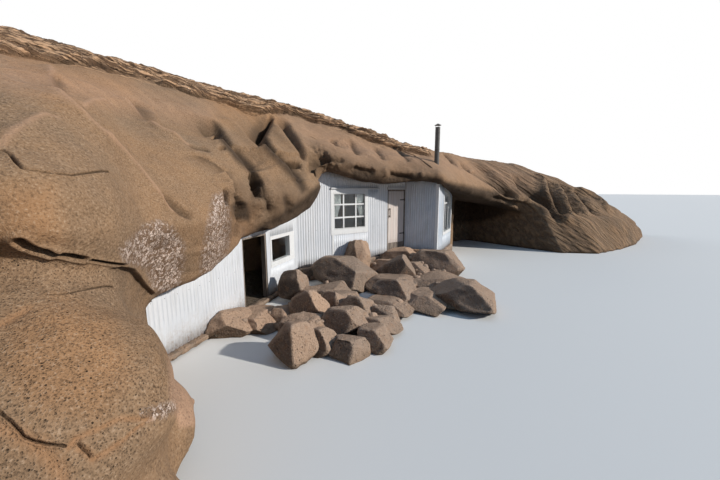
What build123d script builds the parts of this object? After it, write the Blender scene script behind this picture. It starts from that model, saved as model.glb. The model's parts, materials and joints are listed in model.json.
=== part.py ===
from build123d import *
import math
import os

# Cave dwelling: a rock outcrop with two chambers closed by a timber front in corrugated sheet.
# Millimetres. +X runs along the house wall, +Y into the rock, +Z up. The origin is the foot of
# the corner between the barn wall and the house wall, on the lowest ground.

# Plan of the front, from the barn's left end to the wing's right end
BARN_LENGTH = 4600.0
BARN_ANGLE = 37.5
HOUSE_LENGTH = 4088.0
WING_SIDE_LENGTH = 1125.0
WING_FRONT_LENGTH = 2550.0
WING_ANGLE = 27.4
WALL_THICKNESS = 100.0
WALL_CUT_MARGIN = 260.0

# Heights
FOOTING_TOP_BARN = 100.0
FOOTING_TOP_HOUSE = 400.0
FOOTING_SPREAD = 120.0
BARN_FLOOR_TOP = 60.0
HOUSE_FLOOR_TOP = 770.0
FLOOR_PLANK = 50.0

# Barn doorway and barn window, measured back along the barn wall from the corner
BARN_DOOR_NEAR = 1520.0
BARN_DOOR_WIDTH = 860.0
BARN_DOOR_HEAD = 1560.0
BARN_REVEAL = 35.0
BARN_WINDOW_NEAR = 410.0
BARN_WINDOW_SIZE = (920.0, 590.0)
BARN_WINDOW_SILL = 820.0

# House window and house door, measured along the house wall from the corner
HOUSE_WINDOW_LEFT = 1186.0
HOUSE_WINDOW_SIZE = (1180.0, 1065.0)
HOUSE_WINDOW_SILL = 1373.0
HOUSE_WINDOW_COLUMNS = (0.313, 0.695)
HOUSE_WINDOW_ROWS = (0.327, 0.687)
WINDOW_CASING = 95.0
DOOR_RIGHT_JAMB = 58.0
DOOR_OPENING = 705.0
DOOR_LEFT = HOUSE_LENGTH - DOOR_RIGHT_JAMB - DOOR_OPENING
DOOR_HEAD = 2500.0
DOOR_JAMB = 45.0
DOOR_GAP = 5.0
DOOR_LEAF = 35.0

# Wing window, measured along the wing front from the near corner
WING_WINDOW_LEFT = 960.0
WING_WINDOW_WIDTH = 1400.0
WING_WINDOW_SILL = 1000.0
WING_WINDOW_HEAD = 2500.0
WING_WINDOW_SHOULDER = 1750.0
WING_WINDOW_TRANSOM = 2065.0
WING_WINDOW_COLUMNS = (1 / 3, 2 / 3)
WING_HEAD_STEPS = 6
WING_CASING = 76.0

# Joinery
FRAME_PROUD = 25.0
SASH_BAR = 45.0
GLASS = 6.0
GLASS_SETBACK = 40.0
BAR_SETBACK = 8.0
WINDOW_LINING = 30.0
BOARD = 22.0
CASING_BELOW = 150.0
CASING_ABOVE = 120.0
BARN_CASING_LEFT = 30.0
BARN_CASING_RIGHT = 220.0
BARN_CASING_BELOW = 90.0
BARN_CASING_ABOVE = 50.0
DRIP_BOARD = (40.0, 66.0)
DRIP_TO_HEADER = 381.0
HEADER_BOARD = (70.0, 44.0)
HEADER_OVERLAP = 68.0
CORNER_BOARD = (1125.0, 60.0, 770.0)
CORNER_BOARD_FOOT = 50.0
WING_CORNER_BOARD = 70.0

# Corrugated sheet on the walls
SHEET_PITCH = 76.0
SHEET_DEPTH = 18.0
SHEET_BACK = 2.0
SHEET_BENDS = (0.0, 0.3, 0.5, 0.8)
SHEET_END_GAP = 1.0
FLASHING = 24.0

# Curtains behind the house window
CURTAIN = 15.0
CURTAIN_SETBACK = 62.0
CURTAIN_LENGTH = 720.0
CURTAIN_WIDTH = 290.0

# Door furniture
HINGE_RADIUS = 6.0
HINGE_PIN_RADIUS = 3.0
HINGE_PIN_GAP = 0.4
HINGE_STANDOFF = 0.3
HINGE_LENGTH = 90.0
HINGE_INSET = 250.0
HINGE_PLATE = 3.0
STRAP_LENGTH = 180.0
STRAP_FLARE = 3.0
HINGE_PLATE_WIDTH = 34.0
HINGE_END_GAP = 1.0
HINGE_EYE_CLEARANCE = 2.0
HINGE_BORE_MARGIN = 5.0
HANDLE_HEIGHT = 1635.0
HANDLE_LENGTH = 300.0
HANDLE_RADIUS = 9.0
HANDLE_STANDOFF = 52.0
HANDLE_INSET = 40.0
HANDLE_STEM_SHARE = 0.9

# Stove pipe
PIPE_PLACE = (HOUSE_LENGTH + 712.0, -720.0)
PIPE_RADIUS = 78.0
PIPE_WALL = 3.0
PIPE_FOOT = 3050.0
PIPE_TOP = 4560.0
CAP_RADIUS = 112.0
CAP_RISE = 55.0
CAP_GAP = 60.0
CAP_TIP_RADIUS = 12.0
CAP_STAY = 8.0
CAP_STAY_TURNS = (30, 150, 270)
PIPE_BASE = 40.0

# Chambers: the depth of each behind the front, and where one rock piece ends and the next begins
X_LEFT = -7200.0
X_BARN = -3620.0
X_HOUSE = 350.0
X_WING = HOUSE_LENGTH + 262.0
X_PIER = HOUSE_LENGTH + 2872.0
X_HOLLOW = X_PIER + 340.0
X_FLANK = HOUSE_LENGTH + 6312.0
X_TOE = HOUSE_LENGTH + 10512.0
X_RIGHT = HOUSE_LENGTH + 15412.0
BARN_DEPTH = 1800.0
HOUSE_DEPTH = 4200.0
HOLLOW_DEPTH = 1900.0
BARN_CEILING = 2000.0
HOUSE_CEILING = 2900.0
HOLLOW_CEILING = 2400.0
PIER_SLANT = 150.0
CEILING_RUN = 400.0
CEILING_AT_FRONT = 1400.0
STATION_STEP = 620.0

# How far the rock's surface bulges between its guide lines, and how many points each section has
SHOULDER_BULGE = 170.0
CREST_BULGE = 130.0
TOP_BULGE = 60.0
BACK_BULGE = 220.0
FRONT_BULGE = 120.0
ROOF_POINTS = 9
BACK_POINTS = 5
SOLID_POINTS = 10


def course(left, house, right):
    """A guide line over the rock as (x, y, z) points from left to right. Left of the house x is
    measured from the corner, along the house as a share of its length, and right of it from the
    wing's root."""
    along = [(share * HOUSE_LENGTH, y, z) for share, y, z in house]
    beyond = [(HOUSE_LENGTH + x, y, z) for x, y, z in right]
    return left + along + beyond


# Guide lines of the rock
LIP = course(
    [
        (-7200, -4700, 2150), (-5000, -5000, 2250), (-4200, -5050, 2150), (-3850, -4700, 1950),
        (-3620, -3500, 1180), (-3300, -3200, 1120), (-2800, -2800, 1200), (-2400, -2450, 1420),
        (-2100, -2250, 1640), (-1900, -1640, 1600), (-1300, -1300, 1640), (-600, -1000, 1800),
        (-200, -720, 1880),
    ],
    [
        (0.061, -380, 2030), (0.122, -340, 2300), (0.152, -340, 2880), (0.208, -400, 3020),
        (0.318, -420, 2900), (0.465, -600, 2730), (0.758, -800, 2680), (1.027, -1250, 2800),
    ],
    [
        (612, -1280, 2660), (1212, -1000, 2530), (2912, -800, 2310), (5062, -800, 1880),
        (6312, -1000, 1500),
    ],
)
BROW = course(
    [
        (-7200, -4900, 2500), (-5000, -5050, 2650), (-4200, -5000, 2600), (-3850, -4700, 2400),
        (-3620, -4150, 2100), (-2800, -3350, 2150), (-2300, -2750, 2350), (-2000, -2150, 2450),
        (-1300, -1900, 2350), (-300, -1250, 2400),
    ],
    [
        (0.098, -700, 2700), (0.196, -620, 3300), (0.465, -760, 3150), (0.758, -860, 3060),
        (1.052, -1380, 3010),
    ],
    [
        (1212, -1150, 2850), (3012, -860, 2540), (5012, -860, 2210), (6312, -1150, 1950),
        (7412, -2200, 1700), (9812, -2900, 1500), (11212, -3100, 1300), (15412, -2900, 500),
    ],
)
SHOULDER = course(
    [
        (-7200, -2500, 4100), (-5700, -1800, 4300), (-3500, -1200, 3950), (-1400, -300, 3850),
    ],
    [
        (0.245, 600, 4000), (0.832, 300, 3800),
    ],
    [
        (1312, -200, 3500), (4512, -100, 3150), (6912, -900, 2900), (9812, -1900, 2300),
        (11212, -2500, 1900), (15412, -2600, 900),
    ],
)
CREST = course(
    [
        (-7200, 3600, 6000), (-5700, 4000, 6350), (-4600, 3500, 6160), (-3400, 3200, 5980), (-1400, 3200, 5750),
    ],
    [
        (0.245, 2600, 5390), (0.832, 1700, 4800),
    ],
    [
        (1312, 1000, 4240), (4512, 1000, 4010), (6912, 600, 3950), (8312, -100, 3660), (9812, -900, 3030),
        (11212, -1700, 2500), (15412, -2100, 1250),
    ],
)
BACK_TOP = course(
    [
        (-7200, 6300, 5000), (-3400, 6600, 5000),
    ],
    [
        (0.245, 6500, 4500),
    ],
    [
        (1312, 6200, 3800), (6912, 4200, 3000), (11212, 900, 1700), (15412, -1300, 800),
    ],
)
BACK_FOOT = course(
    [
        (-7200, 7300, 0), (-3400, 7800, 0),
    ],
    [],
    [
        (1312, 7400, 0), (6912, 5400, 0), (11212, 2000, 0), (15412, -900, 0),
    ],
)
FRONT_FOOT = course(
    [
        (-7200, -5600, 0), (-5000, -6500, 0), (-4200, -6350, 0), (-3850, -5900, 0), (-3620, -5200, 0),
    ],
    [],
    [
        (6312, -2600, 0), (7412, -3600, 0), (9812, -3900, 0), (11212, -3900, 0), (15412, -3300, 0),
    ],
)
KNEE = course(
    [
        (-7200, -5300, 950), (-5000, -6200, 1050), (-4200, -6000, 1000), (-3850, -5500, 850),
        (-3620, -4900, 400),
    ],
    [],
    [
        (6312, -2200, 700), (7412, -3100, 800), (9812, -3500, 800), (11212, -3600, 700),
        (15412, -3150, 300),
    ],
)
BELLY = [
    (-7200, -5200, 1450), (-5000, -6000, 1650), (-4200, -5800, 1550), (-3850, -5250, 1300),
    (-3620, -4600, 800),
]
CREVICE = [
    (-7200, -4300, 2000), (-5000, -4600, 2120), (-4200, -4650, 2000), (-3850, -4250, 1800),
    (-3620, -3150, 950),
]
WALL_TOP = course(
    [
        (-3700, -2800, 1150), (-2520, -1930, 1250), (-1900, -1460, 1660), (-1100, -850, 1720),
        (-260, -200, 1850),
    ],
    [
        (0.073, 0, 2100), (0.137, 0, 2450), (0.157, 0, 3000), (0.269, 0, 3150), (0.394, 0, 3030),
        (0.575, 0, 2880), (1, 0, 2850),
    ],
    [
        (518, -998, 2930), (1302, -590, 2700), (2412, -10, 2450), (2872, 220, 2250), (6312, 500, 1900),
    ],
)

# Rounded masses at the buttress's right-hand end: centre, size and turn
LOWER_LOBES = [
    ((-4330, -5150, 1020), (1720, 2100, 1500), 20),
    ((-3880, -4520, 330), (1260, 1500, 860), 55),
    ((-4330, -5650, 250), (1720, 1700, 1150), 0),
]

# Boulders of the bank: how far along the house front as a share of its length, how far out,
# width beside a house front BANK_HOUSE long, and top
BANK_HOUSE = 4088.0
BOULDERS = [
    (-0.58, -2000, 1220, 420), (-0.47, -2150, 1100, 330), (-0.36, -2350, 800, 330), (-0.17, -1330, 760, 750),
    (-0.12, -1700, 950, 450), (0.205, -1130, 1740, 850), (0.43, -420, 1040, 1100), (0.54, -1700, 860, 830),
    (0.27, -2760, 1000, 600), (0.85, -560, 1500, 740), (0.93, -1770, 1610, 850), (0.5, -3900, 1500, 600),
    (-0.26, -2700, 760, 700), (-0.13, -2700, 560, 620), (-0.046, -3070, 820, 550), (-0.186, -3470, 740, 550),
    (0.03, -3520, 620, 420), (-0.46, -3700, 720, 600), (-0.35, -3730, 540, 420), (-0.28, -4100, 660, 350),
    (-0.157, -4100, 700, 350), (-0.03, -1900, 1200, 480), (0.4, -2150, 1500, 380), (0.68, -2750, 1950, 380),
    (0.72, -1650, 1150, 520), (0.36, -3350, 1250, 330), (-0.34, -3150, 920, 420), (0.62, -1000, 1260, 520),
    (-0.06, -3700, 900, 300), (-0.04, -2450, 1050, 400), (0.14, -3080, 1150, 300),
]
BOULDER_BELOW = 120.0
BOULDER_SIDES = 8
BOULDER_TURN = 37.0
BOULDER_DEPTH_SHARE = 0.95
EGG_WOBBLE = (0.05, 0.04)
BOULDER_LEVELS = (-0.96, -0.6, 0.0, 0.55, 0.93)
BANK_FIELD = 12000.0


def guide(line, x):
    """The (y, z) of a guide line at x, straight between its points."""
    for (xa, ya, za), (xb, yb, zb) in zip(line, line[1:]):
        if x <= xb:
            t = max(0.0, (x - xa) / (xb - xa))
            return ya + (yb - ya) * t, za + (zb - za) * t
    return line[-1][1:]


def stations(start, end, lines):
    """The x of each section from start to end: the guide points, and even steps between them."""
    wanted = {start, end}
    for line in lines:
        wanted.update(x for x, y, z in line if start < x < end)
    xs = sorted(wanted)
    kept = [xs[0]]
    for x in xs[1:]:
        steps = math.ceil((x - kept[-1]) / STATION_STEP)
        kept.extend(kept[-1] + (x - kept[-1]) * (i + 1) / steps for i in range(steps))
    return kept


def planar_face(points):
    return Face(Wire.make_polygon([Vector(*p) for p in points], close=True))


def hewn_solid(rings):
    """A closed solid of flat facets through sections that have the same number of points."""
    faces = [planar_face(rings[0]), planar_face(rings[-1])]
    count = len(rings[0])
    for near, far in zip(rings, rings[1:]):
        for i in range(count):
            j = (i + 1) % count
            faces.append(planar_face((near[i], near[j], far[j])))
            faces.append(planar_face((near[i], far[j], far[i])))
    return Solid(Shell(faces))


def arched(start, end, rise, steps=3):
    """Points after start up to end on a shallow arch that bulges out by rise."""
    (ya, za), (yb, zb) = start, end
    length = math.hypot(yb - ya, zb - za)
    ny, nz = -(zb - za) / length, (yb - ya) / length
    points = []
    for i in range(1, steps + 1):
        t = i / steps
        bulge = rise * 4 * t * (1 - t)
        points.append((ya + (yb - ya) * t + ny * bulge, za + (zb - za) * t + nz * bulge))
    return points


def outer_slope(x):
    """The outer surface from the brow over the shoulder and crest to the back edge."""
    brow, shoulder, crest, back = (guide(line, x) for line in (BROW, SHOULDER, CREST, BACK_TOP))
    to_crest = arched(brow, shoulder, SHOULDER_BULGE) + arched(shoulder, crest, CREST_BULGE)
    return [brow] + to_crest + arched(crest, back, TOP_BULGE)


def split_slope(x, depth):
    """The outer surface in front of a depth, and behind it, sharing the point at that depth."""
    points = outer_slope(x)
    front = [p for p in points if p[0] < depth - 1]
    rear = [p for p in points if p[0] > depth + 1]
    (ya, za), (yb, zb) = front[-1], rear[0]
    shared = (depth, za + (zb - za) * (depth - ya) / (yb - ya))
    return front + [shared], [shared] + rear


def even_points(points, count):
    """The same outline with exactly count points, spaced evenly along its length."""
    lengths = [0.0]
    for (ya, za), (yb, zb) in zip(points, points[1:]):
        lengths.append(lengths[-1] + math.hypot(yb - ya, zb - za))
    placed = []
    for i in range(count):
        goal = lengths[-1] * i / (count - 1)
        k = max(j for j in range(len(lengths)) if lengths[j] <= goal + 1e-9)
        k = min(k, len(points) - 2)
        t = (goal - lengths[k]) / (lengths[k + 1] - lengths[k])
        (ya, za), (yb, zb) = points[k], points[k + 1]
        placed.append((ya + (yb - ya) * t, za + (zb - za) * t))
    return placed


def rings_along(xs, section):
    return [[(x, y, z) for y, z in section(x)] for x in xs]


def roof_piece(start, end, depth, ceiling):
    """Rock over a chamber: the overhanging lip in front, the slope above, the ceiling below."""
    def section(x):
        mouth_y, mouth_z = guide(WALL_TOP, x)
        slope = even_points(split_slope(x, depth)[0], ROOF_POINTS)
        ceiling_front = (mouth_y + CEILING_RUN, max(mouth_z, CEILING_AT_FRONT))
        return [guide(LIP, x)] + slope + [(depth, ceiling), ceiling_front]
    return hewn_solid(rings_along(stations(start, end, (LIP, BROW, CREST)), section))


def back_piece(start, end, depth):
    """Rock behind a chamber, from its back wall to the outside."""
    def section(x):
        slope = even_points(split_slope(x, depth)[1], BACK_POINTS)
        return [(depth, 0)] + slope + arched(slope[-1], guide(BACK_FOOT, x), BACK_BULGE)
    return hewn_solid(rings_along(stations(start, end, (CREST, BACK_TOP, BACK_FOOT)), section))


def plain_front(x):
    """The front of a piece that rises from its foot to its brow without a break."""
    foot, knee, brow = guide(FRONT_FOOT, x), guide(KNEE, x), guide(BROW, x)
    return [foot, knee] + arched(knee, brow, FRONT_BULGE, 2)[:-1]


def lobed_front(x):
    """The front of the buttress: a foot, a lobe over it, a crevice, and the lip of the upper lobe."""
    return [guide(line, x) for line in (FRONT_FOOT, KNEE, BELLY, CREVICE, LIP)]


def solid_piece(start, end, front):
    """Rock that stands on the ground from front to back."""
    def section(x):
        slope = even_points(outer_slope(x), SOLID_POINTS)
        return front(x) + slope + arched(guide(BACK_TOP, x), guide(BACK_FOOT, x), BACK_BULGE)
    return hewn_solid(rings_along(stations(start, end, (BROW, CREST, BACK_FOOT)), section))


def prism(outline, bottom, top):
    """An upright solid over a plan outline of (x, y) points."""
    face = planar_face([(x, y, bottom) for x, y in outline])
    return extrude(face, amount=top - bottom, dir=(0, 0, 1))


def heading(degrees):
    return Vector(math.cos(math.radians(degrees)), math.sin(math.radians(degrees)))


CORNER = Vector(0, 0)
BARN_DIR = heading(BARN_ANGLE)
HOUSE_DIR = heading(0)
WING_FRONT_DIR = heading(WING_ANGLE)
WING_SIDE_DIR = heading(WING_ANGLE - 90)
BARN_END = CORNER - BARN_DIR * BARN_LENGTH
WING_ROOT = CORNER + HOUSE_DIR * HOUSE_LENGTH
WING_CORNER = WING_ROOT + WING_SIDE_DIR * WING_SIDE_LENGTH
WING_END = WING_CORNER + WING_FRONT_DIR * WING_FRONT_LENGTH


def inward(direction):
    """The horizontal direction from a wall's outside to its inside."""
    return Vector(-direction.Y, direction.X)


def mitre(corner, before, after, offset):
    """Where two walls' faces meet, offset inwards by the same distance."""
    bisector = inward(before) + inward(after)
    return corner + bisector * (2 * offset / bisector.length ** 2)


def line_points(offset):
    """The front's plan line from the barn's end to the wing's end, offset inwards."""
    return [
        BARN_END + inward(BARN_DIR) * offset,
        mitre(CORNER, BARN_DIR, HOUSE_DIR, offset),
        mitre(WING_ROOT, HOUSE_DIR, WING_SIDE_DIR, offset),
        mitre(WING_CORNER, WING_SIDE_DIR, WING_FRONT_DIR, offset),
        WING_END + inward(WING_FRONT_DIR) * offset,
    ]


OUTER = line_points(0)
INNER = line_points(WALL_THICKNESS)
LEDGE = line_points(-FOOTING_SPREAD)


def plan_quad(span, near=None, far=None):
    """The plan of wall number span, or of the stretch from near to far along its outer line."""
    outer_a, outer_b = OUTER[span], OUTER[span + 1]
    inner_a, inner_b = INNER[span], INNER[span + 1]
    direction = (outer_b - outer_a).normalized()
    if near is not None:
        outer_a = OUTER[span] + direction * near
        inner_a = outer_a + inward(direction) * WALL_THICKNESS
    if far is not None:
        outer_b = OUTER[span] + direction * far
        inner_b = outer_b + inward(direction) * WALL_THICKNESS
    return [(p.X, p.Y) for p in (outer_a, outer_b, inner_b, inner_a)]


def wall_frame(start, direction):
    """A plane on a wall's outer face: X along the wall, Y up, Z outwards."""
    outward = (direction.Y, -direction.X, 0)
    return Plane(origin=(start.X, start.Y, 0), x_dir=(direction.X, direction.Y, 0), z_dir=outward)


BARN_FRAME = wall_frame(CORNER, BARN_DIR)
HOUSE_FRAME = wall_frame(CORNER, HOUSE_DIR)
WING_SIDE_FRAME = wall_frame(WING_ROOT, WING_SIDE_DIR)
WING_FRONT_FRAME = wall_frame(WING_CORNER, WING_FRONT_DIR)


def panel(frame, outline, front, back):
    """A flat piece on a wall: an outline of (along, up) points, from front to back along the normal."""
    points = [frame.from_local_coords(Vector(s, z, front)) for s, z in outline]
    face = planar_face([tuple(p) for p in points])
    return extrude(face, amount=front - back, dir=(-frame.z_dir.X, -frame.z_dir.Y, 0))


def rectangle(left, bottom, width, height):
    return [(left, bottom), (left + width, bottom), (left + width, bottom + height), (left, bottom + height)]


def lowest_solid(shape):
    return min(shape.solids(), key=lambda s: s.bounding_box().min.Z)


def under_rock(blank, rock):
    """A wall blank scribed to the rock above it."""
    cut = blank
    for piece in rock:
        cut = cut - piece
    return lowest_solid(cut)


def wall_head(start, end):
    """The height that a blank needs to run into the rock all along."""
    lows = [z for x, y, z in WALL_TOP if start <= x <= end]
    lows += [guide(WALL_TOP, start)[1], guide(WALL_TOP, end)[1]]
    return max(lows) + WALL_CUT_MARGIN


def build_rock():
    """All rock pieces, by node name."""
    buttress = solid_piece(X_LEFT, X_BARN, lobed_front)
    for centre, size, turn in LOWER_LOBES:
        buttress += lobe(centre, size, turn)
    return {
        "rock_left_buttress": above_ground(buttress),
        "rock_roof_barn": roof_piece(X_BARN, X_HOUSE, BARN_DEPTH, BARN_CEILING),
        "rock_roof_house": roof_piece(X_HOUSE, X_WING, HOUSE_DEPTH, HOUSE_CEILING),
        "rock_roof_wing": roof_piece(X_WING, X_PIER, HOUSE_DEPTH, HOUSE_CEILING),
        "rock_roof_hollow": roof_piece(X_PIER, X_FLANK, HOLLOW_DEPTH, HOLLOW_CEILING),
        "rock_back_barn": back_piece(X_BARN, X_HOUSE, BARN_DEPTH),
        "rock_back_house": back_piece(X_HOUSE, X_PIER, HOUSE_DEPTH),
        "rock_back_hollow": back_piece(X_PIER, X_FLANK, HOLLOW_DEPTH),
        "rock_right_flank": solid_piece(X_FLANK, X_TOE, plain_front),
        "rock_right_toe": solid_piece(X_TOE, X_RIGHT, plain_front),
    }


def lobe(centre, size, turn):
    """A rounded mass of rock: an uneven egg of flat facets."""
    cx, cy, cz = centre
    length, width, height = size
    rings = []
    for level in BOULDER_LEVELS:
        spread = math.sqrt(1 - level ** 2)
        ring = []
        for i in range(BOULDER_SIDES):
            a = 2 * math.pi * i / BOULDER_SIDES + math.radians(turn)
            wide, tight = EGG_WOBBLE
            wobble = 1 + wide * math.sin(3 * a + turn) + tight * math.sin(5 * a + 2 * turn + level * 3)
            reach = spread * wobble / 2
            ring.append((cx + length * reach * math.cos(a), cy + width * reach * math.sin(a),
                         cz + height / 2 * level))
        rings.append(ring)
    return hewn_solid(rings)


def above_ground(shape):
    return shape & Pos(0, 0, BANK_FIELD / 2) * Box(4 * BANK_FIELD, 4 * BANK_FIELD, BANK_FIELD)


def build_ground_work():
    """Floors, and the rock that the house floor lies on."""
    barn_inner, corner_inner, root_inner, near_inner, end_inner = [(p.X, p.Y) for p in INNER]
    step = (X_HOUSE, corner_inner[1])
    rise = (corner_inner[1] - barn_inner[1]) / (corner_inner[0] - barn_inner[0])
    barn_start = (X_BARN, corner_inner[1] - rise * (corner_inner[0] - X_BARN))
    barn_plan = [barn_start, corner_inner, step, (X_HOUSE, BARN_DEPTH), (X_BARN, BARN_DEPTH)]
    house_plan = [step, root_inner, near_inner, end_inner, (X_PIER, end_inner[1]), (X_PIER, HOUSE_DEPTH),
                  (X_HOUSE, HOUSE_DEPTH)]
    return {
        "barn_floor": prism(barn_plan, 0, BARN_FLOOR_TOP),
        "rock_floor_house": prism(house_plan, 0, HOUSE_FLOOR_TOP - FLOOR_PLANK),
        "house_floor": prism(house_plan, HOUSE_FLOOR_TOP - FLOOR_PLANK, HOUSE_FLOOR_TOP),
    }


def rock_pier(rock):
    """The rock that the wing's front wall ends against, between the house and the right-hand hollow."""
    outer_end, inner_end = OUTER[-1], INNER[-1]
    plan = [(outer_end.X, outer_end.Y), (X_HOLLOW, outer_end.Y + PIER_SLANT), (X_HOLLOW, HOLLOW_DEPTH),
            (X_PIER, HOLLOW_DEPTH), (X_PIER, inner_end.Y), (inner_end.X, inner_end.Y)]
    return under_rock(prism(plan, 0, HOLLOW_CEILING + WALL_CUT_MARGIN), rock)


def footing(span, top):
    """A course of rough stone under a wall, wider than the wall on its outer side."""
    outer_a, outer_b = LEDGE[span], LEDGE[span + 1]
    inner_a, inner_b = INNER[span], INNER[span + 1]
    return prism([(p.X, p.Y) for p in (outer_a, outer_b, inner_b, inner_a)], 0, top)


def build_walls(rock):
    """The timber front: one slab for each wall or stretch of wall, scribed to the rock above."""
    door_far = BARN_LENGTH - BARN_DOOR_NEAR - BARN_DOOR_WIDTH
    door_near = BARN_LENGTH - BARN_DOOR_NEAR
    leaf_side = DOOR_LEFT - DOOR_JAMB
    barn_top = wall_head(OUTER[0].X, OUTER[1].X)
    house_top = wall_head(OUTER[1].X, OUTER[2].X)
    wing_top = wall_head(OUTER[2].X, OUTER[4].X)
    over_door = DOOR_HEAD + DOOR_JAMB

    def stretch(plan, bottom, top):
        return under_rock(prism(plan, bottom, top), rock)

    barn_right = stretch(plan_quad(0, door_near, None), FOOTING_TOP_BARN, barn_top)
    house = stretch(plan_quad(1, None, leaf_side), FOOTING_TOP_HOUSE, house_top)
    wing_front = stretch(plan_quad(3), FOOTING_TOP_HOUSE, wing_top)
    return {
        "barn_wall_left": stretch(plan_quad(0, None, door_far), FOOTING_TOP_BARN, barn_top),
        "barn_wall_over_door": stretch(plan_quad(0, door_far, door_near), BARN_DOOR_HEAD, barn_top),
        "barn_wall_right": barn_right - wall_hole(BARN_FRAME, barn_window_outline()),
        "house_wall": house - wall_hole(HOUSE_FRAME, house_window_outline()),
        "house_wall_over_door": stretch(plan_quad(1, leaf_side, None), over_door, house_top),
        "wing_side_wall": stretch(plan_quad(2), FOOTING_TOP_HOUSE, wing_top),
        "wing_front_wall": wing_front - wall_hole(WING_FRONT_FRAME, wing_window_outline()),
    }


def wall_hole(frame, outline):
    return panel(frame, outline, WALL_THICKNESS, -2 * WALL_THICKNESS)


def corner_relief(before, after):
    """How far a sheet stops short of a re-entrant corner, so that the sheets on its sides don't meet."""
    turn = abs(math.degrees(math.atan2(before.Y, before.X) - math.atan2(after.Y, after.X)))
    return SHEET_DEPTH * math.tan(math.radians(turn / 2)) + SHEET_END_GAP


def corrugated(frame, start, end, bottom, top):
    """Corrugated sheet on a wall: flat crests and valleys joined by slopes, from start to end."""
    phases = list(zip(SHEET_BENDS, (SHEET_DEPTH, SHEET_DEPTH, SHEET_BACK, SHEET_BACK)))
    wave = []
    for i in range(math.ceil((end - start) / SHEET_PITCH)):
        for share, depth in phases:
            s = start + (i + share) * SHEET_PITCH
            if s < end:
                wave.append((s, depth))
    wave.append((end, wave[-1][1]))
    outline = [(start, 0.0)] + wave + [(end, 0.0)]
    corners = [frame.from_local_coords(Vector(s, bottom, depth)) for s, depth in outline]
    face = planar_face([tuple(p) for p in corners])
    return extrude(face, amount=top - bottom, dir=(0, 0, 1))


def build_cladding(rock):
    """The corrugated skin of each wall, cut round casings, boards and doorways, scribed to the rock."""
    root_relief = corner_relief(HOUSE_DIR, WING_SIDE_DIR)
    corner_gap = corner_relief(BARN_DIR, HOUSE_DIR)
    barn_top = wall_head(OUTER[0].X, OUTER[1].X)
    house_top = wall_head(OUTER[1].X, OUTER[2].X)
    wing_top = wall_head(OUTER[2].X, OUTER[4].X)
    side_end = WING_SIDE_LENGTH - WING_CORNER_BOARD
    house_end = HOUSE_LENGTH - root_relief
    barn = corrugated(BARN_FRAME, -BARN_LENGTH, -corner_gap, FOOTING_TOP_BARN, barn_top)
    house = corrugated(HOUSE_FRAME, corner_gap, house_end, FOOTING_TOP_HOUSE, house_top)
    side = corrugated(WING_SIDE_FRAME, root_relief, side_end, FOOTING_TOP_HOUSE, wing_top)
    front = corrugated(WING_FRONT_FRAME, WING_CORNER_BOARD, WING_FRONT_LENGTH, FOOTING_TOP_HOUSE, wing_top)
    barn = under_rock(barn, rock)
    for outline in (barn_casing_outline(), barn_doorway_outline()):
        barn -= skin_hole(BARN_FRAME, outline)
    house = under_rock(house, rock)
    for outline in (house_casing_outline(), drip_outline(), corner_board_outline(), header_outline(),
                    doorway_outline()):
        house -= skin_hole(HOUSE_FRAME, outline)
    front = under_rock(front, rock) - skin_hole(WING_FRONT_FRAME, inset(wing_window_outline(), -WING_CASING))
    return {"barn_cladding": barn, "house_cladding": house, "wing_cladding": under_rock(side, rock) + front}


def skin_hole(frame, outline):
    return panel(frame, outline, 2 * SHEET_DEPTH, -1)


def barn_window_outline():
    return rectangle(-BARN_WINDOW_NEAR - BARN_WINDOW_SIZE[0], BARN_WINDOW_SILL, *BARN_WINDOW_SIZE)


def barn_casing_outline():
    left = -BARN_WINDOW_NEAR - BARN_WINDOW_SIZE[0] - BARN_CASING_LEFT
    return rectangle(left, BARN_WINDOW_SILL - BARN_CASING_BELOW,
                     BARN_WINDOW_SIZE[0] + BARN_CASING_LEFT + BARN_CASING_RIGHT,
                     BARN_WINDOW_SIZE[1] + BARN_CASING_BELOW + BARN_CASING_ABOVE)


def barn_doorway_outline():
    return rectangle(-BARN_DOOR_NEAR - BARN_DOOR_WIDTH, FOOTING_TOP_BARN - 1, BARN_DOOR_WIDTH,
                     BARN_DOOR_HEAD - FOOTING_TOP_BARN + 1)


def house_window_outline():
    return rectangle(HOUSE_WINDOW_LEFT, HOUSE_WINDOW_SILL, *HOUSE_WINDOW_SIZE)


def house_casing_outline():
    width, height = HOUSE_WINDOW_SIZE
    return rectangle(HOUSE_WINDOW_LEFT - WINDOW_CASING, HOUSE_WINDOW_SILL - CASING_BELOW,
                     width + 2 * WINDOW_CASING, height + CASING_BELOW + CASING_ABOVE)


def drip_outline():
    """The drip board lies on the window's casing and runs on past it to the right."""
    left = HOUSE_WINDOW_LEFT - WINDOW_CASING
    right = DOOR_LEFT - HEADER_OVERLAP - DRIP_TO_HEADER
    bottom = HOUSE_WINDOW_SILL + HOUSE_WINDOW_SIZE[1] + CASING_ABOVE
    return rectangle(left, bottom, right - left, DRIP_BOARD[0])


def corner_board_outline():
    left, width, height = CORNER_BOARD
    return rectangle(left, FOOTING_TOP_HOUSE + CORNER_BOARD_FOOT, width, height)


def header_outline():
    """The board over the door and its jambs."""
    left = DOOR_LEFT - HEADER_OVERLAP
    return rectangle(left, DOOR_HEAD + DOOR_JAMB, HOUSE_LENGTH - FRAME_PROUD * 2 - left, HEADER_BOARD[0])


def doorway_outline():
    left = DOOR_LEFT - DOOR_JAMB
    bottom = FOOTING_TOP_HOUSE - 1
    return rectangle(left, bottom, HOUSE_LENGTH - left, DOOR_HEAD + DOOR_JAMB - bottom)


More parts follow.
